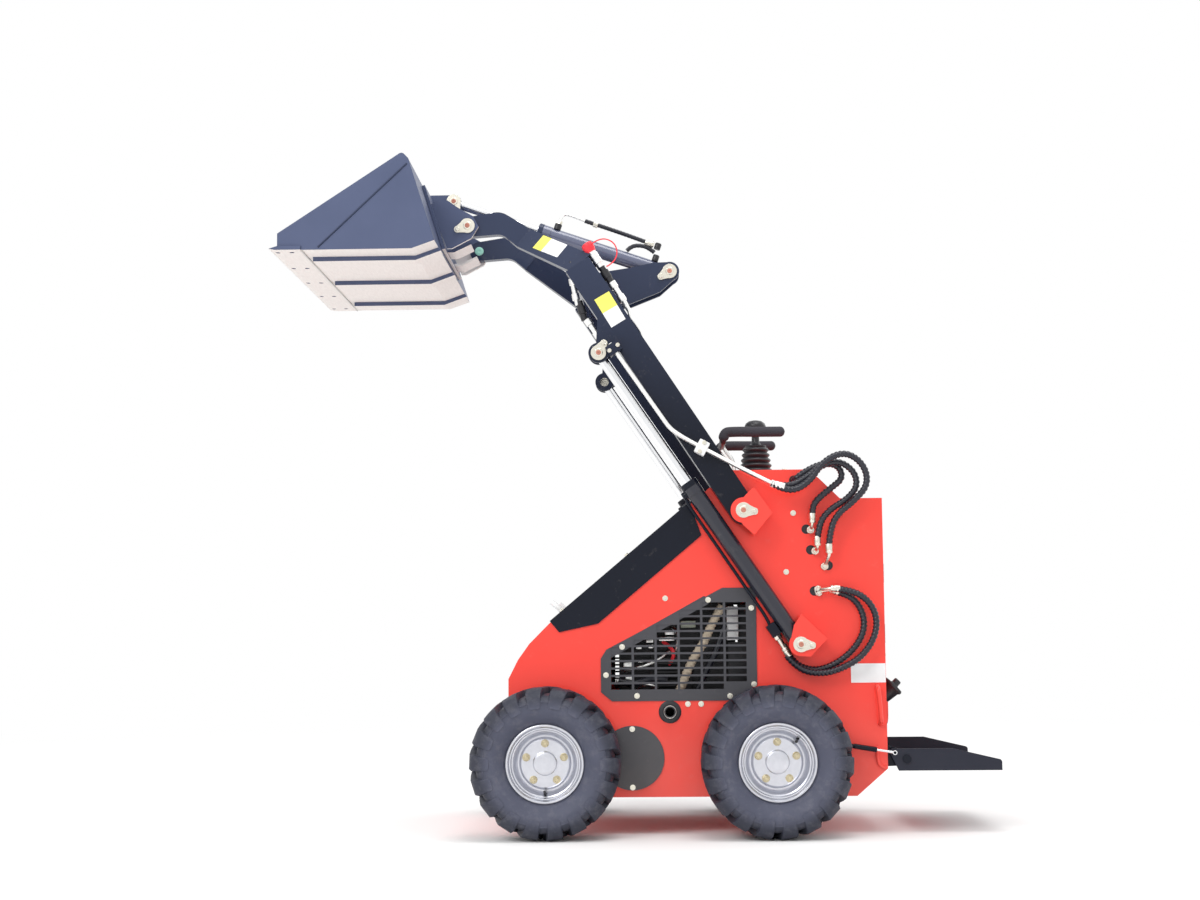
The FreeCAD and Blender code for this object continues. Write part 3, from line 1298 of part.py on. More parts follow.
def hoses():
    """Hydraulic hoses from the side plate to the arm's pipes and to the lift cylinders."""
    radius = amount("hose_radius")
    piece = keep(doc.addObject("Part::Feature", "loop_hoses"))
    piece.Shape = Part.makeCompound([tube(points, radius) for points in LOOP_HOSES])
    piece = keep(doc.addObject("Part::Feature", "cylinder_hoses"))
    piece.Shape = Part.makeCompound(with_mirror([tube(points, radius) for points in CYLINDER_HOSES]))

    low = amount("port_along")
    near = amount("lift_barrel_radius + 0.2")
    inner = amount("lift_cylinder_y - port_half")
    block = Part.makeBox(
        amount("port_length"), amount("port_depth"), 2 * amount("port_half"),
        FreeCAD.Vector(low, -near - amount("port_depth"), inner),
    )
    ends = block.multiFuse([tube([(a, b, c) for a, b, c in points], radius) for points in HOSE_ENDS])
    ends = ends.removeSplitter()
    # the frame's second axis points up and its third to the machine's left
    ends.rotate(FreeCAD.Vector(), FreeCAD.Vector(1, 0, 0), 90)
    ends = ends.mirror(FreeCAD.Vector(), FreeCAD.Vector(0, 1, 0))
    ends.rotate(FreeCAD.Vector(), FreeCAD.Vector(0, -1, 0), amount(LIFT_ANGLE))
    ends.translate(FreeCAD.Vector(amount("lift_base_x"), 0, amount("lift_base_z")))
    piece = keep(doc.addObject("Part::Feature", "port_blocks"))
    piece.Shape = Part.makeCompound(with_mirror([ends]))


def arm_pipes():
    """Two steel pipes along the left arm, in two clamps."""
    outer = amount("pipe_outer_y")
    radius = amount("pipe_radius")
    pipes = []
    room = []
    for level in (outer, outer - amount("pipe_pitch")):
        points = [(75, level, 1520), (-109, level, 1251), (-150, level, 1222), (-207, level, 1190),
                  (-312, level, 1133), (-419.5, level, 1078)]
        pipes.append(tube(points, radius))
        room.append(tube(points, radius + amount("running_gap")))
    piece = keep(doc.addObject("Part::Feature", "arm_pipes"))
    piece.Shape = Part.makeCompound(pipes)

    half = amount("clamp_half")
    face = amount("arm_outer_y")
    clamps = []
    # columns: x, z, angle of the pipes there
    for x, z, angle in ((-207, 1190, 28.5), (64, 1504, 55.6)):
        block = Part.makeBox(
            2 * half, outer + radius + 4 - face, 2 * half, FreeCAD.Vector(-half, face, -half)
        )
        block.rotate(FreeCAD.Vector(), FreeCAD.Vector(0, -1, 0), angle)
        block.translate(FreeCAD.Vector(x, 0, z))
        clamps.append(block.cut(room))
    piece = keep(doc.addObject("Part::Feature", "pipe_clamps"))
    piece.Shape = Part.makeCompound(clamps)


def rear_handle():
    """Grab handle on the rear skin."""
    reach = amount("handle_reach")
    rear = amount("rear_x")
    side = amount("handle_y")
    half = amount("handle_half")
    middle = amount("handle_z")
    piece = keep(doc.addObject("Part::Feature", "rear_handle"))
    piece.Shape = tube(
        [(rear, side, middle + half), (rear - reach, side, middle + half), (rear - reach, side, middle - half),
         (rear, side, middle - half)],
        amount("handle_radius"),
    )


side_plate("side_plate_left", "body_half - side_plate", "body_half", True)
side_plate("side_plate_right", "-body_half", "side_plate - body_half", False)
body_wrap()
hood()
grille()
small_body_parts()
brackets()
arm()
arm_cross_members()
arm_pins()
cylinders()
hitch()
bucket()
platform()
struts()
controls()
hoses()
arm_pipes()
rear_handle()
doc.recompute()

for thing in doc.Objects:
    if {"Invalid", "Error"} & set(thing.State):
        raise RuntimeError("%s: %s" % (thing.Label, thing.State))
for thing in NODES:
    if thing.Shape.isNull() or not thing.Shape.isValid() or not thing.Shape.Solids:
        raise RuntimeError(thing.Label + ": its shape is not sound")

os.makedirs("parts", exist_ok=True)
for thing in NODES:
    thing.Shape.exportStep("parts/%s.step" % thing.Label)
    box = thing.Shape.BoundBox
    print("%-22s %2d solids  %9.0f cm3  x %6.0f %6.0f  y %5.0f %5.0f  z %5.0f %5.0f" % (
        thing.Label, len(thing.Shape.Solids), thing.Shape.Volume / 1000,
        box.XMin, box.XMax, box.YMin, box.YMax, box.ZMin, box.ZMax))
print("sub-parts:", len(NODES))
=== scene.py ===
import math

import bmesh
import bpy
from mathutils import Matrix, Vector
from mathutils.bvhtree import BVHTree


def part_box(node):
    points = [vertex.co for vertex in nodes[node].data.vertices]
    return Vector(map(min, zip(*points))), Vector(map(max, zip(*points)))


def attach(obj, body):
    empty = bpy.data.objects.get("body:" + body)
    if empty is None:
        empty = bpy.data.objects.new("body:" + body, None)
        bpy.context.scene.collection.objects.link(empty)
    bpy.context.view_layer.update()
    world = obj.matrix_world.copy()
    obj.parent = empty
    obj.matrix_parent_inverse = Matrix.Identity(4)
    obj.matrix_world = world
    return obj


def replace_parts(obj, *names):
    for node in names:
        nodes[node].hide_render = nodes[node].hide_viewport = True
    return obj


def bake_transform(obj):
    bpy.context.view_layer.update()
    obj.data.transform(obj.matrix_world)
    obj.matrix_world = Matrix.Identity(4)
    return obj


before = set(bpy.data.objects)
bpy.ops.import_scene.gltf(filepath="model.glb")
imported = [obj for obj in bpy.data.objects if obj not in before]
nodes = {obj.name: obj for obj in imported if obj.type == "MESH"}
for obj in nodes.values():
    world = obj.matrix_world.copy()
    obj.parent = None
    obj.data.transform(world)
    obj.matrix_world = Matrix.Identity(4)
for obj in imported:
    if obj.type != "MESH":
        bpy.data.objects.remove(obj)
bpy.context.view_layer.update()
print("frame loaded:", len(nodes), "nodes")

# Camera, where the photographer stood: metres, radians, millimetres for the lens
shot = {
    "place": (-0.0552, 6.0755, 0.6280),
    "yaw": 0.028946,
    "pitch": 0.097799,
    "roll": -0.008434,
    "lens": 55.152,
    "sensor": 36.0,
    "reach": 200,
}


def shown(name, data):
    # a new object in the scene
    made = bpy.data.objects.new(name, data)
    bpy.context.scene.collection.objects.link(made)
    return made


def aimCamera():
    yaw, pitch, roll = shot["yaw"], shot["pitch"], shot["roll"]
    ahead = Vector((math.sin(yaw) * math.cos(pitch), -math.cos(yaw) * math.cos(pitch), math.sin(pitch)))
    level = ahead.cross(Vector((0, 0, 1))).normalized()
    upright = level.cross(ahead)
    right = math.cos(roll) * level + math.sin(roll) * upright
    top = math.cos(roll) * upright - math.sin(roll) * level
    lens = bpy.data.cameras.new("photoCamera")
    lens.lens = shot["lens"]
    lens.sensor_width = shot["sensor"]
    lens.sensor_fit = "HORIZONTAL"
    lens.clip_end = shot["reach"]
    camera = shown("photoCamera", lens)
    camera.matrix_world = Matrix.Translation(shot["place"]) @ Matrix((right, top, -ahead)).transposed().to_4x4()
    bpy.context.scene.camera = camera


aimCamera()
print("camera placed")


class Signal:
    # one socket; arithmetic on it adds Math nodes to its network
    def __init__(self, network, socket):
        self.network = network
        self.socket = socket

    def __add__(self, other):
        return self.network.maths("ADD", self, other)

    def __radd__(self, other):
        return self.network.maths("ADD", other, self)

    def __sub__(self, other):
        return self.network.maths("SUBTRACT", self, other)

    def __rsub__(self, other):
        return self.network.maths("SUBTRACT", other, self)

    def __mul__(self, other):
        return self.network.maths("MULTIPLY", self, other)

    def __lt__(self, other):
        return self.network.maths("LESS_THAN", self, other)

    def __gt__(self, other):
        return self.network.maths("GREATER_THAN", self, other)


class Network:
    # a tree of nodes: each comes from its type, the values or links of its sockets, then its settings
    def __init__(self, tree):
        self.tree = tree

    def node(self, kind, sockets=None, output=0, **settings):
        made = self.tree.nodes.new(kind)
        for name, value in settings.items():
            setattr(made, name, value)
        for key, value in (sockets or {}).items():
            self.feed(made.inputs[key], value)
        return Signal(self, made.outputs[output])

    def maths(self, operation, *values):
        return self.node("ShaderNodeMath", dict(enumerate(values)), operation=operation)

    def feed(self, socket, value):
        if isinstance(value, Signal):
            self.tree.links.new(value.socket, socket)
        else:
            socket.default_value = value


class Finish(Network):
    # a procedural material; what varies goes to the shader's own sockets
    def __init__(self, name, **constants):
        self.material = bpy.data.materials.new(name)
        self.material.use_nodes = True
        super().__init__(self.material.node_tree)
        self.tree.nodes.clear()
        self.shader = self.tree.nodes.new("ShaderNodeBsdfPrincipled")
        self.end = self.tree.nodes.new("ShaderNodeOutputMaterial")
        self.tree.links.new(self.shader.outputs[0], self.end.inputs["Surface"])
        self.put(**constants)
        self.place = self.node("ShaderNodeTexCoord", output="Object")
        self.facing = self.node("ShaderNodeTexCoord", output="Normal")

    def put(self, **links):
        for key, value in links.items():
            self.feed(self.shader.inputs[key.replace("_", " ")], value)

    def noise(self, scale, detail, stretch=(1, 1, 1), rough=0.5):
        place = self.node("ShaderNodeMapping", {"Vector": self.place, "Scale": stretch})
        return self.node("ShaderNodeTexNoise",
                         {"Vector": place, "Scale": scale, "Detail": detail, "Roughness": rough})

    def axis(self, source, letter):
        return self.node("ShaderNodeSeparateXYZ", {0: source}, letter)

    def between(self, value, low, high):
        # 0 below low, 1 above high, smooth in between
        return self.node("ShaderNodeMapRange", {"Value": value, "From Min": low, "From Max": high},
                         interpolation_type="SMOOTHSTEP")

    def blendColours(self, share, first, second):
        return self.node("ShaderNodeMix", {0: share, 6: first, 7: second}, 2, data_type="RGBA")

    def relief(self, height, strength, depth, edge=0.0):
        sockets = {"Height": height, "Strength": strength, "Distance": depth}
        if edge:
            sockets["Normal"] = self.node("ShaderNodeBevel", {"Radius": edge}, samples=4)
        self.put(Normal=self.node("ShaderNodeBump", sockets))


def shade(colour, factor):
    return tuple(min(part * factor, 1.0) for part in colour[:3]) + (1.0,)


# dust thrown up from the ground, and the heights over which painted light makes the tall pieces paler towards their
# upper ends
dust = {"colour": (0.52, 0.46, 0.40, 1.0), "low": 0.10, "top": 0.50, "share": 0.16, "scuff": 0.06}
paintedLightHeights = {"low": 1.15, "top": 1.98}


def sprayedPaint(name, colour, roughness, coat, edge, dusty=True, high=None, gloss=0.3):
    # sprayed paint: slow shifts of tone, orange peel, dust on the lower half;
    # high is a second, paler colour painted onto the upper end of a tall piece as painted light
    finish = Finish(name, Coat_Roughness=0.06, Coat_IOR=1.5, Specular_IOR_Level=gloss)
    height = finish.axis(finish.place, "Z")
    tone = finish.noise(3, 2)
    film = finish.between(finish.noise(26, 6, rough=0.65), 0.58, 0.80) * dust["scuff"]
    if dusty:
        film = film + (1 - finish.between(height, dust["low"], dust["top"])) * finish.noise(9, 5) * dust["share"]
    base = finish.blendColours(tone, shade(colour, 0.88), shade(colour, 1.10))
    # painted light: the upper end turns paler with height
    if high:
        paintedLitColour = finish.blendColours(tone, shade(high, 0.90), shade(high, 1.08))
        base = finish.blendColours(finish.between(height, paintedLightHeights["low"], paintedLightHeights["top"]), base, paintedLitColour)
    finish.put(Base_Color=finish.blendColours(film, base, dust["colour"]),
               Roughness=film * 0.9 + roughness + tone * 0.05,
               Coat_Weight=(1 - film) * coat)
    finish.relief(finish.noise(420, 2), 0.05, 0.0006, edge)
    return finish.material


def treadPlate(pitch):
    # the platform: dark paint over a raised diamond pattern, rubbed pale on its crests
    finish = Finish("deckPaint", Specular_IOR_Level=0.25)
    x, y = finish.axis(finish.place, "X"), finish.axis(finish.place, "Y")
    one, two = finish.maths("SINE", (x + y) * pitch), finish.maths("SINE", (x - y) * pitch)
    crest = finish.between(one * two, 0.35, 0.75) * (finish.axis(finish.facing, "Z") > 0.5)
    tone = finish.noise(8, 4)
    base = finish.blendColours(tone, (0.014, 0.016, 0.028, 1), (0.026, 0.028, 0.042, 1))
    finish.put(Base_Color=finish.blendColours(crest * tone * 0.6, base, (0.20, 0.20, 0.22, 1)),
               Roughness=0.42 + tone * 0.15)
    finish.relief(crest, 0.6, 0.0014, 0.0010)
    return finish.material


def groundSteel(name, colour, roughness):
    # bare plate: mill streaks along the machine, rubbed patches
    finish = Finish(name, Metallic=0.85)
    streak = finish.noise(30, 5, (1, 9, 9))
    finish.put(Base_Color=finish.blendColours(finish.noise(7, 4), shade(colour, 0.84), shade(colour, 1.08)),
               Roughness=roughness + streak * 0.18)
    finish.relief(streak, 0.08, 0.0008, 0.0012)
    return finish.material


def bucketPaintAndFloorSheen(name, inside=0.0):
    # slate paint, with pale plate on the faces that look down: partly scoured bare steel, partly a painted reflection
    # of the bright floor;
    # below the height called inside, faces that look towards the middle are pale as well
    finish = Finish(name, Coat_Roughness=0.14, Specular_IOR_Level=0.15)
    # painted reflection: faces that look down take the pale colour, which also stands for bare scoured plate
    bareAndFloorSheen = finish.axis(finish.facing, "Z") < -0.45
    if inside:
        inward = finish.axis(finish.facing, "Y") * finish.axis(finish.place, "Y") < -0.02
        bareAndFloorSheen = finish.maths("MAXIMUM", bareAndFloorSheen, inward * (finish.axis(finish.place, "Z") < inside))
    streak = finish.noise(24, 5, (9, 1, 9))
    worn = finish.between(finish.noise(40, 8, rough=0.7), 0.64, 0.82) * 0.22
    slate = finish.blendColours(finish.noise(6, 5), (0.070, 0.088, 0.158, 1), (0.094, 0.115, 0.200, 1))
    slate = finish.blendColours(worn, slate, (0.24, 0.26, 0.32, 1))
    # the pale colour: bare plate, brightened as a painted reflection of the floor
    plate = finish.blendColours(streak, (0.73, 0.69, 0.66, 1), (0.91, 0.87, 0.84, 1))
    finish.put(Base_Color=finish.blendColours(bareAndFloorSheen, slate, plate),
               Roughness=0.38 + bareAndFloorSheen * 0.12 + streak * 0.10,
               Coat_Weight=(1 - bareAndFloorSheen) * 0.1)
    finish.relief(finish.noise(420, 2), 0.05, 0.0006, 0.0015)
    return finish.material


def tyreRubber():
    # dark rubber with a blue-grey bloom, darker in the tread as painted shade on the lugs and in the gaps between
    # them, dusty, with a fine moulding grain
    finish = Finish("tyreRubber", Specular_IOR_Level=0.35)
    bloom = finish.noise(11, 5)
    low = finish.between(finish.noise(34, 6, rough=0.7), 0.45, 0.75)
    base = finish.blendColours(bloom, (0.050, 0.055, 0.086, 1), (0.092, 0.098, 0.142, 1))
    treadShade = finish.node("ShaderNodeAttribute", output="Fac", attribute_name="treadShade")
    base = finish.blendColours(treadShade, base, (0.030, 0.033, 0.050, 1))
    finish.put(Base_Color=finish.blendColours(low * 0.16, base, (0.30, 0.29, 0.31, 1)),
               Roughness=0.46 + bloom * 0.2 + low * 0.1)
    finish.relief(finish.noise(700, 3), 0.12, 0.0006)
    return finish.material


def clouded(name, colours, cloud, roughness, grain, bump, **constants):
    # two colours in clouds over a fine grain: scale and detail of both, least roughness and its swing
    finish = Finish(name, **constants)
    tone = finish.noise(*cloud)
    finish.put(Base_Color=finish.blendColours(tone, *colours), Roughness=roughness[0] + tone * roughness[1])
    finish.relief(finish.noise(*grain), *bump)
    return finish.material


def plated(name, colour, roughness, tint, edge=0.0008):
    return clouded(name, (colour, tint), (55, 4), (roughness, 0.08), (300, 2), (0.04, 0.0004, edge), Metallic=1.0)


def moulded(name, colour, roughness, grain=600, depth=0.0004):
    return clouded(name, (shade(colour, 0.8), shade(colour, 1.25)), (12, 3), (roughness, 0.12), (grain, 2),
                   (0.15, depth))


# every finish, under the material slot of the record that it stands for
looks = {
    "body_red": {
        "red": sprayedPaint("redPaint", (0.93, 0.062, 0.045), 0.30, 0.3, 0.0015, gloss=0.2),
        "cap": moulded("capRed", (0.82, 0.030, 0.045), 0.36),
    },
    "black_paint": {
        # arm paint: its second colour is painted light, paler towards the upper ends
        "black": sprayedPaint("navyPaint", (0.006, 0.008, 0.016), 0.24, 0.18, 0.0015, False,
                              (0.036, 0.047, 0.088), 0.12),
        # tilt barrel: the same black paint as the lift barrels, given a paler slate colour as painted glare
        "slate": sprayedPaint("slatePaint", (0.115, 0.128, 0.200), 0.20, 0.9, 0.0015, False),
        "barrel": sprayedPaint("barrelPaint", (0.020, 0.021, 0.032), 0.18, 0.7, 0.0015, False, None, 0.2),
        "bucket": bucketPaintAndFloorSheen("bucketPlate"),
        "hitch": bucketPaintAndFloorSheen("hitchPlate", 1.950),
    },
    "grey_paint": {
        "grey": sprayedPaint("greyPaint", (0.060, 0.060, 0.070), 0.46, 0.1, 0.0010),
        "deck": treadPlate(190.0),
    },
    "dark_steel": {
        "dark": sprayedPaint("darkFrame", (0.018, 0.018, 0.022), 0.42, 0.2, 0.0010),
        "rust": moulded("pinCentre", (0.50, 0.20, 0.14), 0.50, 300),
    },
    "bare_steel": {
        "steel": groundSteel("groundSteel", (0.62, 0.60, 0.57), 0.30),
        "wrap": moulded("exhaustWrap", (0.62, 0.52, 0.40), 0.75, 300, 0.0015),
    },
    "zinc": {
        "zinc": plated("zincPlate", (0.76, 0.75, 0.70, 1), 0.24, (0.82, 0.77, 0.62, 1)),
        "gold": plated("yellowZinc", (0.50, 0.43, 0.28, 1), 0.24, (0.72, 0.64, 0.44, 1)),
        "pipe": plated("whiteZincPipe", (0.90, 0.90, 0.89, 1), 0.28, (0.96, 0.96, 0.93, 1)),
        "yellow": moulded("blankYellow", (0.86, 0.78, 0.14), 0.42, 200, 0.0002),
        "mint": moulded("mintWasher", (0.36, 0.72, 0.60), 0.40, 300, 0.0002),
    },
    "chrome": {"chrome": plated("chromeRod", (0.82, 0.83, 0.85, 1), 0.10, (0.90, 0.91, 0.92, 1))},
    "rim_silver": {
        "rim": plated("rimSilver", (0.55, 0.56, 0.61, 1), 0.26, (0.72, 0.73, 0.78, 1), 0.0012),
        "white": moulded("blankWhite", (0.86, 0.86, 0.87), 0.42, 200, 0.0002),
        "tank": moulded("paleTank", (0.42, 0.46, 0.38), 0.45, 200, 0.0002),
    },
    "tyre": {"rubber": tyreRubber()},
    "black_plastic": {
        "plastic": moulded("blackPlastic", (0.014, 0.014, 0.018), 0.32),
        "foam": moulded("gripFoam", (0.028, 0.025, 0.034), 0.70, 260, 0.0012),
        "hose": moulded("hoseRubber", (0.014, 0.015, 0.024), 0.22, 500, 0.0003),
    },
    "engine_iron": {
        "engine": clouded("castIron", ((0.010, 0.010, 0.012, 1), (0.05, 0.05, 0.055, 1)), (14, 6), (0.55, 0.2),
                          (160, 5), (0.35, 0.001), Metallic=0.3),
    },
}
finishes = {name: look for group in looks.values() for name, look in group.items()}

# the CAD nodes that wear each finish
dressing = {
    "red": "side_plate_left side_plate_right body_wrap arm_brackets cylinder_brackets",
    "black": "hood arm_left arm_right cross_tube cylinder_horn strut_tubes platform_hinges",
    "barrel": "lift_barrels",
    # the tilt barrel's paler slate is painted glare
    "slate": "tilt_barrel",
    "grey": "grille_left grille_right round_covers",
    "deck": "platform",
    "dark": "axle_housings exhaust_pipe",
    "bucket": "bucket_shell cutting_edge runners",
    "hitch": "hitch_frame",
    "zinc": "chassis_pins hitch_pins ear_pins horn_pin tilt_ear_pins strut_studs",
    "pipe": "arm_pipes",
    "chrome": "lift_rods tilt_rod strut_rods",
    "engine": "engine_block",
}
for finish, names in dressing.items():
    for name in names.split():
        nodes[name].data.materials.clear()
        nodes[name].data.materials.append(finishes[finish])
print("finishes made:", len(finishes))


def metres(table):
    # a table of millimetres in metres
    if isinstance(table, (int, float)):
        return table / 1000
    return type(table)(metres(part) for part in table)


def meshOf(name, shape):
    bmesh.ops.recalc_face_normals(shape, faces=shape.faces)
    mesh = bpy.data.meshes.new(name)
    shape.to_mesh(mesh)
    shape.free()
    return mesh


def place(name, mesh, finish, body, angle=35):
    # a piece that rides on its body, smooth but for its sharp edges
    mesh.materials.clear()
    mesh.materials.append(finishes[finish])
    mesh.shade_smooth()
    mesh.set_sharp_from_angle(angle=math.radians(angle))
    piece = shown(name, mesh)
    if body:
        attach(piece, body)
    return piece


def settle(name, shape, finish, body, angle=35):
    return place(name, meshOf(name, shape), finish, body, angle)


def sidesOf(both):
    return (1, -1) if both else (1,)


def flipped(points, side):
    return [(x, y * side, z) for x, y, z in points]


def turned(shape, profile, centre, axis, steps=64):
    # columns of the profile: radius, distance along the axis; a radius of 0 closes the end
    axis = Vector(axis).normalized()
    first = axis.orthogonal().normalized()
    second = axis.cross(first)
    rings = []
    for radius, along in profile:
        middle = Vector(centre) + axis * along
        turns = [2 * math.pi * k / steps for k in range(steps if radius else 1)]
        rings.append([shape.verts.new(middle + (first * math.cos(turn) + second * math.sin(turn)) * radius)
                      for turn in turns])
    for ring, after in zip(rings, rings[1:]):
        for k in range(steps):
            corners = dict.fromkeys((ring[k % len(ring)], ring[(k + 1) % len(ring)],
                                     after[(k + 1) % len(after)], after[k % len(after)]))
            if len(corners) > 2:
                shape.faces.new(list(corners))
    return shape


def joined(shape, rings):
    # quads from each ring of corners to the next
    for ring, after in zip(rings, rings[1:]):
        for k in range(len(ring)):
            n = (k + 1) % len(ring)
            shape.faces.new([ring[k], ring[n], after[n], after[k]])


def slab(shape, corners, thick, way=(0, 1, 0)):
    # a thin plate on these corners, raised on the side that faces this way
    corners = [Vector(corner) for corner in corners]
    rise = (corners[1] - corners[0]).cross(corners[2] - corners[0]).normalized() * thick
    if rise.dot(Vector(way)) < 0:
        rise.negate()
    rings = [[shape.verts.new(corner + lift) for corner in corners] for lift in (Vector(), rise)]
    for ring in rings:
        shape.faces.new(ring)
    joined(shape, rings)
    return shape


# the corners of a square, in order round it
quarters = ((1, 1), (-1, 1), (-1, -1), (1, -1))


def soften(shape, offset, segments=2, profile=0.6, edges=None):
    bmesh.ops.bevel(shape, geom=edges or shape.edges[:], offset=offset, segments=segments, profile=profile,
                    affect="EDGES")
    return shape


def routed(points, gap):
    # the smooth line that these control points give, as points a fixed gap apart
    curve = bpy.data.curves.new("route", "CURVE")
    curve.dimensions = "3D"
    spline = curve.splines.new("NURBS")
    spline.points.add(len(points) - 1)
    for point, spot in zip(spline.points, points):
        point.co = (*spot, 1.0)
    spline.order_u = 3
    spline.use_endpoint_u = True
    spline.resolution_u = 16
    carrier = bpy.data.objects.new("route", curve)
    line = [vertex.co.copy() for vertex in bpy.data.meshes.new_from_object(carrier).vertices]
    bpy.data.objects.remove(carrier)
    spots = [line[0]]
    left = gap
    for start, end in zip(line, line[1:]):
        run = (end - start).length
        while left < run:
            spots.append(start.lerp(end, left / run))
            left += gap
        left -= run
    if (spots[-1] - line[-1]).length < gap / 2:
        spots.pop()
    return spots + [line[-1]]


def swept(shape, line, radius, steps=12, ridge=0.0, pitch=0.012, dome=0.0):
    # a tube along a line of points; a band of this height may wind round it once a pitch,
    # and its ends may be domes of this length
    side = (line[1] - line[0]).orthogonal().normalized()
    rings = []
    run = 0.0
    whole = sum((after - spot).length for spot, after in zip(line, line[1:]))
    for k, spot in enumerate(line):
        before = line[max(k - 1, 0)]
        ahead = (line[min(k + 1, len(line) - 1)] - before).normalized()
        side = (side - ahead * side.dot(ahead)).normalized()
        up = ahead.cross(side)
        run += (spot - before).length
        end = min(run, whole - run)
        swell = math.sqrt(max(1 - ((dome - end) / dome) ** 2, 0.02)) if end < dome else 1.0
        ring = []
        for j in range(steps):
            turn = 2 * math.pi * j / steps
            wave = math.sin(2 * math.pi * (run / pitch - j / steps))
            reach = radius * swell + ridge * min(max(wave * 1.8 + 0.7, 0.0), 1.0)
            ring.append(shape.verts.new(spot + (side * math.cos(turn) + up * math.sin(turn)) * reach))
        rings.append(ring)
    joined(shape, rings)
    shape.faces.new(rings[0][::-1])
    shape.faces.new(rings[-1])
    return shape


def surfaceOf(node):
    mesh = nodes[node].data
    return BVHTree.FromPolygons([vertex.co for vertex in mesh.vertices],
                                [tuple(face.vertices) for face in mesh.polygons])


def seenFrom(ground, start, way):
    # where a look from this start meets the surface, and its normal there
    return ground.ray_cast(Vector(start), Vector(way))[:2]


def sheetOn(node, corners, thick, steps=14):
    # a thin sheet laid on a CAD node from the machine's left: corners are x and z, in order round it
    ground = surfaceOf(node)
    shape = bmesh.new()
    grid = {}
    for i in range(steps + 1):
        for j in range(steps + 1):
            a, b = i / steps, j / steps
            shares = ((1 - a) * (1 - b), a * (1 - b), a * b, (1 - a) * b)
            x, z = (sum(corner[k] * share for corner, share in zip(corners, shares)) for k in (0, 1))
            hit, normal = seenFrom(ground, (x, 0.8, z), (0, -1, 0))
            grid[i, j] = [shape.verts.new(hit + normal * rise) for rise in (thick, -thick)]
    for k in (0, 1):
        for i in range(steps):
            for j in range(steps):
                shape.faces.new([grid[at][k] for at in ((i, j), (i + 1, j), (i + 1, j + 1), (i, j + 1))])
    last = range(steps + 1)
    around = [(i, 0) for i in last] + [(steps, j) for j in last[1:]]
    around += [(i, steps) for i in last[-2::-1]] + [(0, j) for j in last[-2:0:-1]]
    for here, after in zip(around, around[1:] + around[:1]):
        top, foot = grid[here]
        shape.faces.new([top, *grid[after], foot])
    return shape


class Builder(Network):
    # a Geometry Nodes tree; its inputs are named, and a modifier sets them by identifier
    def __init__(self, name, inputs):
        tree = bpy.data.node_groups.new(name, "GeometryNodeTree")
        super().__init__(tree)
        for label, kind, way in [("Geometry", "Geometry", "INPUT"), ("Geometry", "Geometry", "OUTPUT")] + [
                (label, kind, "INPUT") for label, kind in inputs]:
            tree.interface.new_socket(label, in_out=way, socket_type="NodeSocket" + kind)
        self.start = tree.nodes.new("NodeGroupInput")
        self.end = tree.nodes.new("NodeGroupOutput")

    def given(self, label):
        return Signal(self, self.start.outputs[label])

    def copies(self, points, instance, turn, finish):
        # the instances turned on their points, as one real mesh with its finish
        spread = self.node("GeometryNodeInstanceOnPoints", {"Points": points, "Instance": instance, "Rotation": turn})
        whole = self.node("GeometryNodeRealizeInstances", {0: spread})
        self.feed(self.end.inputs[0], self.node(
            "GeometryNodeSetMaterial", {"Geometry": whole, "Material": finishes[finish]}))


def grown(name, source, builder, values):
    # runs a tree on a mesh and returns the result as a plain mesh
    carrier = shown(name, source)
    modifier = carrier.modifiers.new(name, "NODES")
    modifier.node_group = builder.tree
    for item in builder.tree.interface.items_tree:
        if item.in_out == "INPUT" and item.name in values:
            modifier[item.identifier] = values[item.name]
    ready = carrier.evaluated_get(bpy.context.evaluated_depsgraph_get())
    mesh = bpy.data.meshes.new_from_object(ready)
    bpy.data.objects.remove(carrier)
    return mesh


def ringOfCopies(finish):
    # copies of a mesh turned about a line along Y through a centre
    build = Builder("ringOfCopies", [("Count", "Int"), ("Centre", "Vector"), ("Start", "Float")])
    step = build.maths("DIVIDE", 2 * math.pi, build.given("Count"))
    turn = build.node("GeometryNodeInputIndex") * step + build.given("Start")
    points = build.node("GeometryNodePoints", {"Count": build.given("Count"), "Position": build.given("Centre")})
    build.copies(points, build.given("Geometry"), build.node("ShaderNodeCombineXYZ", {"Y": turn}), finish)
    return build


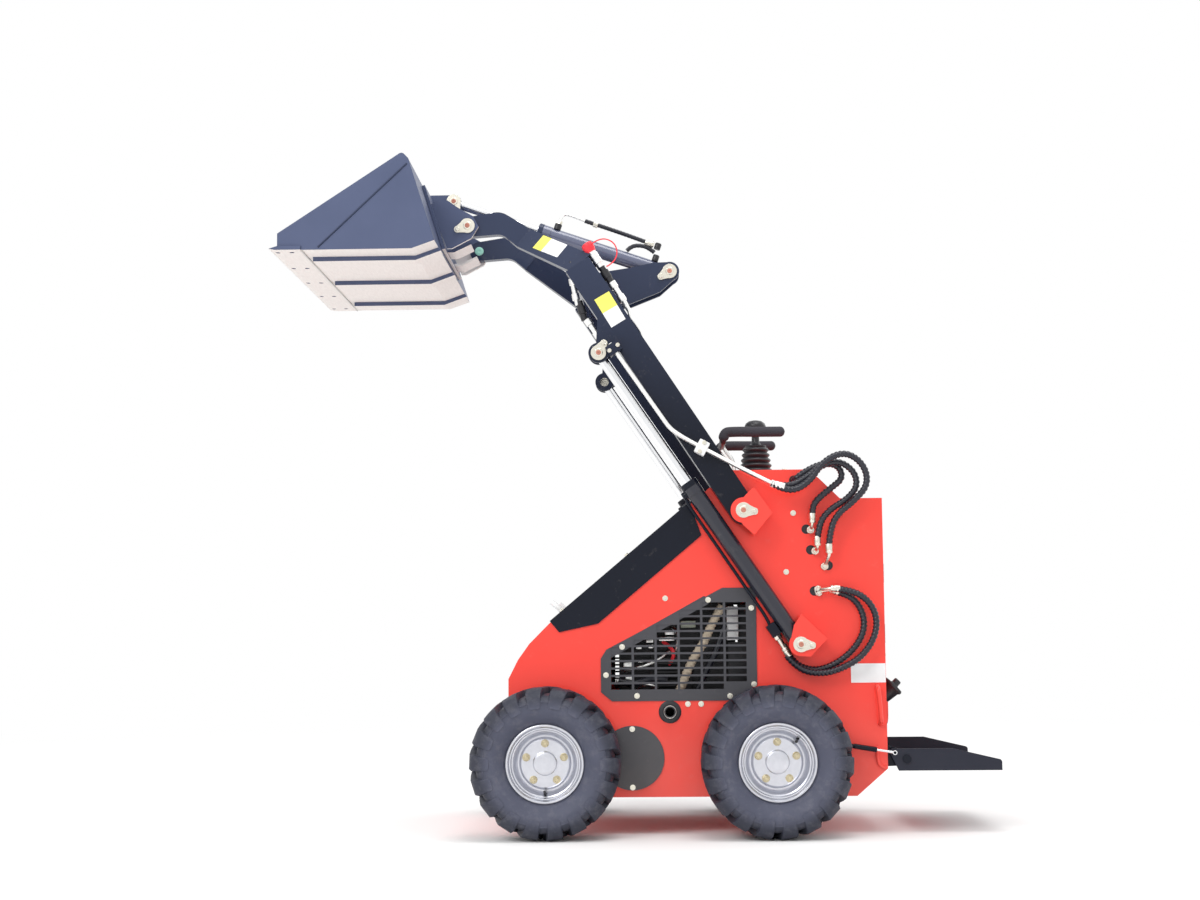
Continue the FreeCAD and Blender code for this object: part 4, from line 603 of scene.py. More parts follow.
# Profiles of small turned parts in millimetres: radius, distance along the axis
profiles = {name: metres(points) for name, points in {
    "pinHead": [(0, 0), (13.5, 0), (13.5, 1.4), (12, 2.6), (7.2, 2.6), (6.2, 1.2), (0, 1.2)],
    "pinCap": [(0, 0), (15, 0), (15, 1.6), (12.5, 2.4), (5, 2.4), (4, 1.4), (0, 1.4)],
    "pinDot": [(0, 1), (8.2, 1), (8.2, 2.6), (6.6, 3.4), (3.4, 3.4), (2.8, 2.2), (0, 2.2)],
    "washer": [(0, 0), (9.8, 0), (9.6, 1.4), (0, 1.4)],
    "bolt": [(0, 1.2), (7.2, 1.2), (7.2, 5.2), (6, 6.2), (0, 6.2)],
    "crimp": [(0, -2), (10, -2), (11.2, 0), (11.4, 6), (10.6, 7), (10.6, 9), (11.4, 10), (11.4, 26), (10.4, 28),
        (8, 28.5), (0, 28.5)],
    "nut": [(0, -4), (10, -4), (11, -3), (11, 11), (10, 12), (0, 12)],
    "eye": [(0, 0), (10, 0), (11.8, 1.5), (11.8, 10.5), (10, 12), (0, 12)],
    "eyeBolt": [(0, 11.5), (7.8, 11.5), (7.8, 16.5), (6.6, 17.8), (0, 17.8)],
    "hole": [(0, 0), (15, 0), (14.6, 1.2), (12.8, 1.4), (12, 0.4), (0, 0.4)],
    "couplerCap": [(0, 0), (11, 0.5), (17, 3), (18.6, 7.5), (18.6, 24), (16, 29), (15, 34), (0, 34)],
    "couplerBody": [(0, 0), (13, 0), (13, 8), (14.5, 9), (14.5, 24), (13.6, 25), (13.6, 29), (14.5, 30), (14.5, 45),
        (12, 47), (12, 60), (0, 60)],
    "couplerNeck": [(0, 0), (9.8, 0), (9.8, 16), (13, 17), (13, 42), (10.5, 44), (10.5, 64), (0, 64)],
    "couplerFoot": [(0, 0), (12.5, 0), (12.5, 20), (9, 22), (9, 48), (12, 49), (12, 70), (7, 72), (7, 86), (0, 86)],
    "gland": [(18, -16), (28.5, -16), (29.3, -14), (29.3, 1), (27.5, 3), (24.5, 3), (22, 1), (18, 1), (18, -16)],
    "tiltGland": [(15, -14), (26.5, -14), (27.2, -12), (27.2, 1), (25, 3), (20, 3), (15, 1), (15, -14)],
    "boss": [(0, 0), (12, 0), (12, 18), (10, 20), (0, 20)],
    "elbow": [(0, 0), (10.5, 0), (11, 2), (11, 19), (9, 22), (0, 22)],
    "outlet": [(17.8, 0), (20, 0), (20, 4), (18.9, 4.8), (17.8, 4), (17.8, 0)],
    "outletRing": [(20.5, 0), (34.5, 0), (34.5, 2), (33, 3), (21.5, 3), (20.5, 0)],
    "neck": [(0, 0), (23, 0), (25, 10), (29, 38), (34.5, 44), (34.5, 50), (32, 53), (15, 54), (12, 58), (12, 70),
        (10, 73), (0, 73.5)],
    "hinge": [(0, 0), (6, 0), (6.8, 1), (6.8, 19), (6, 20), (6.8, 21), (6.8, 39), (6, 40), (6.8, 41), (6.8, 59),
        (6, 60), (0, 60)],
    "latch": [(0, 0), (24, 0), (24, 3), (21.5, 5), (12, 5), (11, 9), (9.5, 10.5), (0, 10.5)],
    "pivot": [(0, 0), (12, 0), (12, 1.2), (8.5, 1.6), (8.5, 5), (7, 6.2), (0, 6.4)],
    "nutWasher": [(0, 0), (12.2, 0), (12.2, 2.2), (11.6, 2.8), (0, 2.8)],
    "nutBody": [(0, 2), (10.4, 2), (10.4, 11), (9.2, 12.4), (0, 12.4)],
    "nutStud": [(0, 10), (5.8, 10), (5.8, 16), (4.8, 17), (0, 17)],
    "valve": [(0, 0), (6.2, 0), (6.2, 8), (4.2, 12), (4, 28), (4.6, 29), (4.6, 40), (3.6, 42), (0, 42)],
    "knob": [(34, 0), (34, 3), (20, 5), (16, 10), (13, 16), (12, 44), (16, 50), (29, 53), (34.5, 59), (35, 68),
        (31, 77), (21, 84), (9, 86.5), (0, 87)],
}.items()}

# Tyres: a smooth carcass and two rows of lugs, the left row half a pitch from the right
tyre = {
    "steps": 108,
    "lugs": 18,
    # radius, distance from the middle plane, from the bead to the crown
    "side": metres([(103.5, 64), (108, 71.5), (119, 72.2), (122.5, 74.5), (123.5, 79), (125, 81.2), (138, 92.5),
        (152, 101), (166, 105.6), (179, 106.6), (183, 106.4), (184.5, 107.6), (186.8, 107.4), (188.2, 105),
        (196, 101), (203, 93), (207, 80), (209.6, 60), (211, 30), (211.5, 0)]),
    # distance from the middle plane, rear and front edge across, top and root radius
    "lug": metres([(-4, -33, 1, 229.3, 204), (36, -24, 16, 229.3, 204), (78, -14, 34, 227.8, 200),
        (94.5, -10.5, 37.5, 219, 190), (106.2, -7, 35, 203, 180), (109, -4.5, 31, 188, 170),
        (108.4, -2, 26, 177.5, 166)]),
    "softness": 0.0022,
    "sharp": 0.5,
    # room over the lugs, and the radii between which the rubber darkens as painted shade
    "room": 0.0007,
    "dark": (0.170, 0.200),
}

# Wheels: columns are radius and distance outwards from the wheel's middle plane
wheel = {
    "steps": 96,
    "rim": metres([(0, -159), (23.5, -159), (25, -157.5), (25, -48), (31, -44), (85, -40), (95, -48), (99.5, -55),
        (101, -54), (101, 60), (103.5, 70), (112, 70.4), (116.5, 71.6), (118, 74.5), (117.6, 77.2), (115.5, 78),
        (112, 77.2), (108.5, 73), (106, 65), (103, 60.5), (98.5, 59), (96.5, 57.5), (95, 52), (92, 42), (88.5, 34),
        (84, 30.5), (79, 31), (76.5, 34), (74.5, 41.5), (71.8, 44), (37.2, 44), (35.6, 45), (35, 52), (33.8, 55.6),
        (30, 57.4), (20, 58), (0, 58)]),
    "nuts": 5,
    "nutCircle": 0.060,
    "disc": 0.0440,
    # place of the valve's foot, its lean, and its turn from straight up towards the front
    "valve": (0.096, 0.036),
    "valveLean": 0.35,
    "valveTurn": {"front": math.pi, "rear": -0.73},
}
lugRing = ringOfCopies("rubber")
nutRing = ringOfCopies("gold")


def oneLug(side):
    shape = bmesh.new()
    rings = []
    for level, rear, front, top, root in tyre["lug"]:
        rings.append([shape.verts.new((across, side * level, math.sqrt(radius ** 2 - across ** 2)))
                      for across, radius in ((rear, root), (front, root), (front, top), (rear, top))])
    joined(shape, rings)
    shape.faces.new(rings[0])
    shape.faces.new(rings[-1])
    bmesh.ops.recalc_face_normals(shape, faces=shape.faces)
    sharp = [edge for edge in shape.edges if edge.calc_face_angle(0) > tyre["sharp"]]
    return meshOf("lug", soften(shape, tyre["softness"], edges=sharp))


def makeTyre(corner, centre, side):
    shape = bmesh.new()
    profile = tyre["side"] + [(radius, -along) for radius, along in tyre["side"][-2::-1]]
    turned(shape, profile + profile[:1], centre, (0, 1, 0), tyre["steps"])
    bmesh.ops.remove_doubles(shape, verts=shape.verts, dist=1e-6)
    for row in (1, -1):
        shape.from_mesh(grown("lugs", oneLug(row), lugRing, {
            "Count": tyre["lugs"], "Centre": centre,
            "Start": math.pi + side * row * math.pi / tyre["lugs"] / 2}))
    # painted shade: the rubber darkens outwards from the inner radius towards the tread
    treadShade = shape.verts.layers.float.new("treadShade")
    inner, outer = tyre["dark"]
    for vertex in shape.verts:
        reach = math.hypot(vertex.co.x - centre.x, vertex.co.z - centre.z)
        vertex[treadShade] = min(max((reach - inner) / (outer - inner), 0.0), 1.0)
    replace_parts(settle("tyreRubber_" + corner, shape, "rubber", "wheel_" + corner), "tyre_" + corner)


def makeWheel(corner, centre, side):
    body = "wheel_" + corner
    shape = turned(bmesh.new(), wheel["rim"], centre, (0, side, 0), wheel["steps"])
    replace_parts(settle("rim_" + corner, shape, "rim", body, 30), "wheel_" + corner)
    shape = bmesh.new()
    for profile, steps in (("nutWasher", 20), ("nutBody", 6), ("nutStud", 12)):
        turned(shape, profiles[profile], (0, side * wheel["disc"], wheel["nutCircle"]), (0, side, 0), steps)
    nuts = grown("nuts", meshOf("nut", shape), nutRing, {"Count": wheel["nuts"], "Centre": centre, "Start": 0.0})
    place("wheelNuts_" + corner, nuts, "gold", body)
    turn = wheel["valveTurn"][corner.split("_")[0]]
    away = Vector((math.sin(turn), 0, math.cos(turn)))
    reach, level = wheel["valve"]
    shape = turned(bmesh.new(), profiles["valve"], centre + away * reach + Vector((0, side * level, 0)),
                   Vector((0, side, 0)) - away * wheel["valveLean"], 16)
    settle("valve_" + corner, shape, "plastic", body)


for corner in ("front_left", "front_right", "rear_left", "rear_right"):
    low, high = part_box("tyre_" + corner)
    centre = (low + high) / 2
    centre.z = high.z - tyre["lug"][0][3] - tyre["room"]
    side = 1 if "left" in corner else -1
    makeTyre(corner, centre, side)
    makeWheel(corner, centre, side)
print("tyres and wheels made")

# Joystick: a ribbed bellows round the lever, with a knob
lever = {
    "steps": 48,
    "ribs": 6,
    "foot": 0.0590,
    "top": 0.0410,
    "height": 0.1040,
    "fold": 0.0085,
    # one rib: share of its height, share of the fold's depth
    "rib": [(0.08, 0.20), (0.22, 0.0), (0.42, 0.0), (0.58, 0.35), (0.78, 1.0), (0.94, 0.85)],
    "ribTop": 0.3,
}


def makeJoystick():
    low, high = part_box("joystick")
    profile = [(0, 0), (lever["foot"], 0)]
    for k in range(lever["ribs"]):
        outer = lever["foot"] + (lever["top"] - lever["foot"]) * (k + lever["ribTop"]) / lever["ribs"]
        profile += [(outer - sink * lever["fold"], lever["height"] * (k + share) / lever["ribs"])
                    for share, sink in lever["rib"]]
    profile += [(radius, lever["height"] + rise) for radius, rise in profiles["knob"]]
    foot = Vector(((low.x + high.x) / 2, (low.y + high.y) / 2, low.z))
    shape = turned(bmesh.new(), profile, foot, (0, 0, 1), lever["steps"])
    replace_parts(settle("leverBellows", shape, "plastic", "chassis", 60), "joystick")


makeJoystick()
print("controls made")

# Bolt heads: the node they sit on, then x and z of each head in millimetres, on both sides of the machine
bolts = {
    "Washer Radius": 0.0088,
    "Head Radius": 0.0062,
    "Head Height": 0.0040,
}
boltRows = {
    "grille_left": [(48, 576), (99, 489), (3, 424), (-222, 720), (-356, 694), (-361, 458), (-286, 422)],
    "round_covers": [(19, 322), (19, 143)],
    "side_plate_left": [(-88, 726), (-492, 989), (-467, 805), (-155, 398), (-196, 398)],
}


def boltHeads():
    # a domed washer and a low head on each vertex, facing away from the middle of the machine
    build = Builder("boltHeads", [(label, "Float") for label in bolts])
    tall = build.given("Head Height")
    parts = []
    for sides, radius, depth in ((20, "Washer Radius", tall * 0.45), (6, "Head Radius", tall)):
        parts.append(build.node("GeometryNodeMeshCylinder", {
            "Vertices": sides, "Radius": build.given(radius), "Depth": depth}))
    lift = build.node("ShaderNodeCombineXYZ", {"Z": tall * 0.5})
    parts[1] = build.node("GeometryNodeTransform", {"Geometry": parts[1], "Translation": lift})
    whole = build.tree.nodes.new("GeometryNodeJoinGeometry")
    for part in parts:
        build.tree.links.new(part.socket, whole.inputs[0])
    across = build.node("ShaderNodeSeparateXYZ", {0: build.node("GeometryNodeInputPosition")}, "Y")
    turn = build.node("ShaderNodeCombineXYZ", {"X": build.maths("SIGN", across) * (-math.pi / 2)})
    build.copies(build.given("Geometry"), Signal(build, whole.outputs[0]), turn, "zinc")
    return build


def makeBolts():
    spots = []
    for node, heads in boltRows.items():
        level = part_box(node)[1].y + bolts["Head Height"] * 0.2
        for x, z in metres(heads):
            spots += [(x, level, z), (x, -level, z)]
    mesh = bpy.data.meshes.new("boltSpots")
    mesh.from_pydata(spots, [], [])
    place("bodyBolts", grown("bolts", mesh, boltHeads(), bolts), "zinc", "chassis")


makeBolts()
print("bolts made")


class Trim:
    # a piece that grows part by part, on the left or on both sides; all are settled at the end
    def __init__(self, body, finish):
        self.body = body
        self.finish = finish
        self.shape = bmesh.new()

    def lathe(self, profile, centre, axis=(0, 1, 0), steps=20, both=False):
        for side in sidesOf(both):
            flip = Vector((1, side, 1))
            turned(self.shape, profiles[profile], Vector(centre) * flip, Vector(axis) * flip, steps)

    def tube(self, radius, points, both=False, ridge=0.0, gap=0.006, steps=12):
        for side in sidesOf(both):
            swept(self.shape, routed(flipped(points, side), gap), radius, steps, ridge)


trims = {}


def trim(name, body, finish):
    if name not in trims:
        trims[name] = Trim(body, finish)
    return trims[name]


# Keepers in millimetres: body, x, z, the keeper's outer face, way to its bolt in degrees, on both sides
keepers = [
    ("chassis", -333, 995, 389, 187, True),
    ("chassis", -503, 580, 389, 185, True),
    ("lift_arm", 112.2, 1494.9, 373, 120, True),
    ("lift_arm", 538, 1937, 234, 340, True),
    ("lift_arm", -117, 1815, 48, 328, False),
    ("bucket", 604, 2065, 35, 250, True),
]
keeperReach = 34
for body, x, z, level, way, both in keepers:
    turn = math.radians(way)
    pin = metres((x, level, z))
    tail = metres((x + keeperReach * math.cos(turn), level, z + keeperReach * math.sin(turn)))
    heads = trim("pinHeads_" + body, body, "zinc")
    heads.lathe("pinHead", pin, steps=28, both=both)
    trim("pinDots_" + body, body, "rust").lathe("pinDot", pin, steps=16, both=both)
    heads.lathe("washer", tail, steps=18, both=both)
    heads.lathe("bolt", tail, steps=6, both=both)

# Hoses: they run as the CAD solids do, but for the ends at the side plate, where a fitting takes over,
# and for the lower pair's last stretch to the cylinder
hose = {
    "radius": 0.0090,
    "ridge": 0.0017,
    "gap": 0.0023,
    "steps": 14,
    # name, on both sides, control points in millimetres
    "runs": [
        ("loopHoses", False, [
            [(-421, 396, 1077.5), (-468, 395, 1047), (-532, 391, 1072), (-583, 388, 1146), (-650, 385, 1174),
                (-707, 380, 1136), (-722, 374, 1072), (-676, 366, 1020), (-618, 357, 976), (-599, 351, 912),
                (-598, 348, 876)],
            [(-421, 377, 1077.5), (-470, 372, 1064), (-527, 364, 1092), (-578, 360, 1134), (-634, 358, 1148),
                (-681, 356, 1114), (-690, 353, 1066), (-655, 350, 1026), (-602, 347, 996), (-568, 345, 952),
                (-563, 344, 900)]]),
        ("shortHose", False, [
            [(-496, 305.2, 1092), (-496, 334, 1092), (-534, 336, 1120), (-584, 336, 1142), (-634, 334, 1136),
                (-648, 333, 1094), (-606, 333, 1062), (-562, 335, 1026), (-550, 336, 1002), (-549, 336, 972)]]),
        ("lowerHoses", True, [
            [(-616, 350, 750), (-668, 352, 745), (-718, 351, 712), (-742, 350, 660), (-734, 348, 600),
                (-694, 346, 542), (-642, 345, 510), (-584, 345, 490), (-520, 346, 494), (-478, 347, 524),
                (-461, 347, 546)],
            [(-616, 330, 742), (-656, 330, 732), (-690, 329, 700), (-706, 329, 650), (-696, 328, 600),
                (-658, 327, 550), (-602, 326, 512), (-546, 326, 498), (-500, 328, 512), (-474, 328, 538),
                (-463, 328, 556)]]),
    ],
    # a moving body and two points on the loop, then the node that the loop replaces
    "bends": {
        "loopHoses": ("lift_arm", (-0.600, 0.38, 1.000), (-0.425, 0.38, 1.090), "loop_hoses"),
        "lowerHoses": ("lift_barrels", (-0.590, 0.34, 0.500), (-0.456, 0.34, 0.4735), "cylinder_hoses"),
    },
    # a fitting: its radius, the eye's height over the wall, the run out of the eye and before the crimp
    "fitting": (0.0058, 0.004, 0.007, 0.010),
    "holeOfShort": (-0.496, 1.092),
    # the arm's pipe ends in millimetres: both levels, then profile, x and z, way, sides round it
    "pipeEnds": ((396, 377), [("nut", -422.5, 1077, (-0.93, 0, -0.36), 6),
                              ("crimp", -433, 1073, (-0.95, 0, -0.30), 18)]),
}
# bulkheads in millimetres: x and z of the eye, start of the crimp on the hose, the way that the hose leaves it,
# x and z from the eye to its hole in the side plate, on both sides
ports = [
    ((-586, 821), (-598.5, 347.5, 862), (0.03, 0.05, 1.0), (-12, 3), False),
    ((-557, 869), (-563, 344, 886), (0.02, 0.0, 1.0), (12, 4), False),
    ((-544, 935), (-549, 336, 958), (0.0, 0.0, 1.0), (12, 3), False),
    ((-564, 749), (-602, 348, 751), (-1.0, 0.08, -0.02), (10, -4), True),
    ((-566, 740), (-602, 329, 746), (-1.0, 0.02, -0.25), None, True),
]


def makeHoses():
    for name, both, runs in hose["runs"]:
        shape = bmesh.new()
        for points in metres(runs):
            for side in sidesOf(both):
                line = routed(flipped(points, side), hose["gap"])
                swept(shape, line, hose["radius"], hose["steps"], hose["ridge"])
        bend = hose["bends"].get(name)
        piece = settle(name, shape, "hose", None if bend else "chassis", 60)
        if bend:
            body, start, end, node = bend
            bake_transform(piece)
            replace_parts(piece, node)
    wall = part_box("side_plate_left")[1].y
    radius, rise, run, lead = hose["fitting"]
    ends, holes = trim("hoseEnds", "chassis", "zinc"), trim("portHoles", "chassis", "plastic")
    for (x, z), start, way, hole, both in ports:
        eye = Vector((x / 1000, wall + rise, z / 1000))
        start = Vector(metres(start))
        ends.lathe("eye", eye, both=both)
        ends.lathe("eyeBolt", eye, steps=6, both=both)
        ends.lathe("crimp", start, way, 18, both)
        middle = start - Vector(way).normalized() * lead
        ends.tube(radius, [eye + Vector((0, run, 0)), middle, start], both, gap=0.004)
        if hole:
            holes.lathe("hole", ((x + hole[0]) / 1000, wall, (z + hole[1]) / 1000), steps=24, both=both)
    x, z = hose["holeOfShort"]
    holes.lathe("hole", (x, wall, z), steps=24)
    levels, rows = hose["pipeEnds"]
    for level in levels:
        for profile, x, z, way, steps in rows:
            trim("pipeEnds", "lift_arm", "pipe").lathe(profile, metres((x, level, z)), way, steps)


makeHoses()


def onCylinder(base, degrees, along, across, level):
    # a point beside a cylinder, from millimetres: along it, across it and out to one side
    turn = math.radians(degrees)
    return metres((base[0] + along * math.cos(turn) - across * math.sin(turn), level,
                   base[1] + along * math.sin(turn) + across * math.cos(turn)))


# Lift cylinders in millimetres: foot pin, slope in degrees, then places along the barrel and across it
lift = {
    "foot": (-503, 580),
    "slope": 56.08,
    "side": 343,
    "gland": 607,
    # the port block: from and to along the barrel, from and to across it, half its width
    "block": (62, 104, -27.5, -58, 21),
    "softness": 0.003,
    # the two fittings on it: level, then where they start and end
    "fittings": [(347, (62, -46), (-12, -49)), (328, (62, -40), (-2, -46))],
    "fittingRadius": 0.0070,
    "crimpLength": 0.0285,
    "pipe": [(100, -45), (112, -38.5), (200, -38.5), (500, -38.5), (560, -38.5), (580, -30), (580, -18)],
    "pipeRadius": 0.0052,
    "boss": (580, -20),
}


def makeLiftTrim():
    def spot(along, across, level=lift["side"]):
        return Vector(onCylinder(lift["foot"], lift["slope"], along, across, level))

    body = "lift_barrels"
    along, down = spot(1000, 0) - spot(0, 0), spot(0, -1000) - spot(0, 0)
    low, high, near, far, half = lift["block"]
    shape = bmesh.new()
    for side in (1, -1):
        level = (lift["side"] - half) * side
        slab(shape, [spot(a, b, level) for a, b in ((low, near), (high, near), (high, far), (low, far))],
             2 * half / 1000, (0, side, 0))
    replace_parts(settle("portBlocks", soften(shape, lift["softness"]), "black", body), "port_blocks")
    ends = trim("blockEnds", body, "zinc")
    for level, start, end in lift["fittings"]:
        top, foot = spot(*start, level), spot(*end, level)
        way = (foot - top).normalized()
        ends.lathe("nut", top, way, 6, True)
        ends.lathe("crimp", foot - way * lift["crimpLength"], way, 18, True)
        ends.tube(lift["fittingRadius"], [top, top.lerp(foot, 0.5), foot], True)
    trim("liftGlands", body, "black").lathe("gland", spot(lift["gland"], 0), along, 40, True)
    pipes = trim("liftPipes", body, "black")
    pipes.tube(lift["pipeRadius"], [spot(*at) for at in lift["pipe"]], True)
    pipes.lathe("boss", spot(*lift["boss"]), down, 20, True)


makeLiftTrim()

# Tilt cylinder in millimetres: foot pin, slope in degrees, then its fittings and hoses
tilt = {
    "foot": (-117, 1815),
    "slope": 19.12,
    "side": 12,
    "gland": (462, 0, 0),
    # piece, finish, profile, place along and across, which way it points, sides round it
    "fittings": [
        ("tiltFittings", "plastic", "boss", (405, 22), "up", 18),
        ("tiltNuts", "zinc", "nut", (405, 40), "up", 6),
        ("tiltFittings", "plastic", "elbow", (66, 62), "up", 16),
        ("tiltFittings", "plastic", "elbow", (60, 22), "up", 16),
        ("tiltNuts", "zinc", "nut", (283, 79), "along", 12),
        ("tiltNuts", "zinc", "crimp", (82, 74), "along", 18),
    ],
    # piece, finish, radius, ridge, places along and across
    "tubes": [
        ("tiltPipe", "pipe", 0.0048, 0.0, [(405, 45), (405, 78), (378, 82), (340, 80), (318, 79)]),
        ("tiltHose", "hose", 0.0066, 0.0008, [(325, 79), (250, 79), (150, 77), (82, 74)]),
        ("tiltLoop", "hose", 0.0066, 0.0008, [(70, 50), (95, 60), (125, 58), (150, 46), (160, 27)]),
    ],
}


def makeTiltTrim():
    def spot(along, across, level=tilt["side"]):
        return Vector(onCylinder(tilt["foot"], tilt["slope"], along, across, level))

    body = "tilt_barrel"
    ways = {"along": spot(1000, 0) - spot(0, 0), "up": spot(0, 1000) - spot(0, 0)}
    trim("tiltGland", body, "black").lathe("tiltGland", spot(*tilt["gland"]), ways["along"], 40)
    for name, finish, profile, at, way, steps in tilt["fittings"]:
        trim(name, body, finish).lathe(profile, spot(*at), ways[way], steps)
    for name, finish, radius, ridge, places in tilt["tubes"]:
        trim(name, body, finish).tube(radius, [spot(*at) for at in places], ridge=ridge)


makeTiltTrim()

# Couplers on the left arm's back: the cap's top, the way down the arm and the way out of its back
coupler = {
    "top": (0.1500, 1.8480),
    "way": (-0.536, 0, -0.844),
    "back": (-0.844, 0, 0.536),
    "sides": (352, 330),
    "foot": 0.225,
    # piece, finish, profile, distance from the top, sides round it
    "parts": [
        ("couplerCaps", "cap", "couplerCap", 0.000, 24), ("couplerBodies", "pipe", "couplerBody", 0.032, 28),
        ("couplerNecks", "plastic", "couplerNeck", 0.090, 20), ("couplerBodies", "pipe", "couplerFoot", 0.150, 20),
    ],
    # radii of the thick and thin pipe, of the tether, of the elbow's hose and its ridge
    "radii": (0.0062, 0.0050, 0.0021, 0.0085, 0.0012),
    # the thick pipe's start: distance down the arm, then towards the back
    "bend": ((0, 0), (0.03, 0), (0.05, -0.012)),
    # x and z in millimetres: where the thick pipe ends, and all of the thin one
    "thick": [(-5, 1588), (-30, 1550), (-22, 1530)],
    "thin": [(118, 1782), (98, 1760), (45, 1678), (10, 1620)],
    "tether": [(135, 366, 1840), (105, 370, 1862), (62, 366, 1850), (48, 362, 1815), (62, 362, 1782),
               (85, 362, 1770)],
    # fittings and a hose under the elbow, in line with the arm: piece, finish, profile, place, way
    "elbow": [
        ("elbowFittings", "pipe", "couplerFoot", (0.194, 0.343, 1.736), (-0.18, 0, -0.98)),
        ("elbowSleeves", "plastic", "couplerNeck", (0.172, 0.343, 1.664), (-0.25, 0, -0.97)),
        ("elbowFittings", "pipe", "couplerFoot", (0.149, 0.343, 1.605), (-0.55, 0, -0.83)),
    ],
    "elbowHose": [(194, 343, 1733), (198, 343, 1748), (200, 343, 1766), (196, 343, 1790)],
}


def makeCouplers():
    body = "lift_arm"
    way, back = Vector(coupler["way"]), Vector(coupler["back"])
    thickRadius, thinRadius, tetherRadius, hoseRadius, ridge = coupler["radii"]
    for level in coupler["sides"]:
        top = Vector((coupler["top"][0], level / 1000, coupler["top"][1]))
        for name, finish, profile, along, steps in coupler["parts"]:
            trim(name, body, finish).lathe(profile, top + way * along, way, steps)
        end = top + way * coupler["foot"]
        pipes = trim("edgePipes", body, "pipe")
        thick, thin = [metres([(x, level, z) for x, z in coupler[which]]) for which in ("thick", "thin")]
        pipes.tube(thickRadius, [end + way * down + back * out for down, out in coupler["bend"]] + thick)
        pipes.tube(thinRadius, thin)
    trim("capTether", body, "cap").tube(tetherRadius, metres(coupler["tether"]), gap=0.004, steps=8)
    for name, finish, profile, start, lean in coupler["elbow"]:
        trim(name, body, finish).lathe(profile, start, lean, 18)
    trim("elbowHose", body, "hose").tube(hoseRadius, metres(coupler["elbowHose"]), ridge=ridge)


makeCouplers()

# Stickers on the left arm, all blank: finish, then x and z of the corners in millimetres
stickers = {
    "armLabelYellow": ("yellow", [(124, 1663), (78, 1690), (52, 1646), (98, 1619)]),
    "armLabelWhite": ("white", [(98, 1619), (52, 1646), (26, 1601), (71, 1574)]),
    "neckLabelYellow": ("yellow", [(290, 1898), (262, 1882), (297, 1841), (325, 1857)]),
    "neckLabelWhite": ("white", [(262, 1882), (210, 1852), (243, 1811), (297, 1841)]),
}
for name, (finish, corners) in stickers.items():
    settle(name, sheetOn("arm_left", metres(corners), 0.0006), finish, "lift_arm")

# Flat plates on the sides, in millimetres: a blank sign, and strips under the grilles' sloping edges
plates = {
    "thick": 0.0012,
    "sign": [(-662, 519), (-769, 519), (-769, 460), (-662, 460)],
    "strip": [(-223.5, 708.1), (82, 542.5), (88, 570), (-210, 733)],
}


def makePlate(name, finish, level, corners):
    shape = slab(bmesh.new(), metres([(x, level, z) for x, z in corners]), plates["thick"], (0, level, 0))
    settle(name, shape, finish, "chassis")


makePlate("rearPlate", "white", 305.2, plates["sign"])

# Hand bar in millimetres: foam grips on one bent tube, two plated posts under it
grips = {
    "bar": 0.0110,
    "foam": 0.0165,
    "dome": 0.0150,
    "post": 0.0095,
    "route": [(-460, 227, 1254.5), (-400, 227, 1254.5), (-306, 227, 1256), (-280, 227, 1252), (-278, 227, 1230),
        (-279, 205, 1224), (-279, 120, 1224), (-279, 0, 1224)],
    "foamRoute": [(-476, 227, 1254.5), (-400, 227, 1254.5), (-312, 227, 1256), (-281, 227, 1253), (-279, 227, 1224)],
    "postRoute": [(-281, 60, 1224), (-292, 60, 1205), (-318, 60, 1175), (-318, 60, 1128)],
    "postFoot": (-0.318, 0.060, 1.1262),
}


def makeHandBar():
    trim("gripBar", "chassis", "plastic").tube(grips["bar"], metres(grips["route"]), True)
    shape = bmesh.new()
    for side in (1, -1):
        line = routed(flipped(metres(grips["foamRoute"]), side), 0.002)
        swept(shape, line, grips["foam"], 24, dome=grips["dome"])
    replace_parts(settle("gripFoam", shape, "foam", "chassis", 60), "hand_bar")
    posts = trim("gripPosts", "chassis", "pipe")
    posts.tube(grips["post"], metres(grips["postRoute"]), True)
    posts.lathe("pivot", grips["postFoot"], (0, 0, 1), 24, True)


makeHandBar()

# Exhaust rim and ring, filler neck: finish, profile, place, way, sides round it
fixtures = {
    "outletRim": ("steel", "outlet", (-0.099, 0.3160, 0.374), (0, 1, 0), 32),
    "outletRing": ("plastic", "outletRing", (-0.099, 0.3052, 0.374), (0, 1, 0), 40),
    "fillerNeck": ("plastic", "neck", (-0.770, 0.200, 0.412), (-0.7071, 0, 0.7071), 36),
}
for name, (finish, profile, spot, way, steps) in fixtures.items():
    trim(name, "chassis", finish).lathe(profile, spot, way, steps)

# Handles: radius, on both sides, control points in millimetres
handles = {
    "sideHandle": (0.0072, True, [(-742, 306, 448), (-742, 330, 446), (-743, 336, 425), (-747, 336, 380),
                                  (-749, 334, 338), (-749, 306, 332)]),
    "rearHandle": (0.0075, False, [(-771, 60, 456), (-792, 60, 455), (-798, 60, 440), (-798, 60, 386),
                                   (-798, 60, 332), (-792, 60, 317), (-771, 60, 316)]),
    "lowerHook": (0.0055, True, [(-737, 304, 262), (-737, 310, 259), (-738, 311, 225), (-744, 311, 202),
                                 (-766, 308, 198)]),
}
for name, (radius, both, points) in handles.items():
    trim(name, "chassis", "red").tube(radius, metres(points), both)

# Headlamps: a pale housing with a lens in front, standing on the hood's slope
lamp = {
    "side": 0.250,
    "half": 0.0235,
    "bevel": 0.003,
    "slope": (0.6623, 0, -0.7492),
    "rise": (0.7492, 0, 0.6623),
    # back and front along the slope, share of the half width
    "housing": (-0.0080, 0.0060, 1.0),
    "lens": (0.0055, 0.0085, 0.86),
}


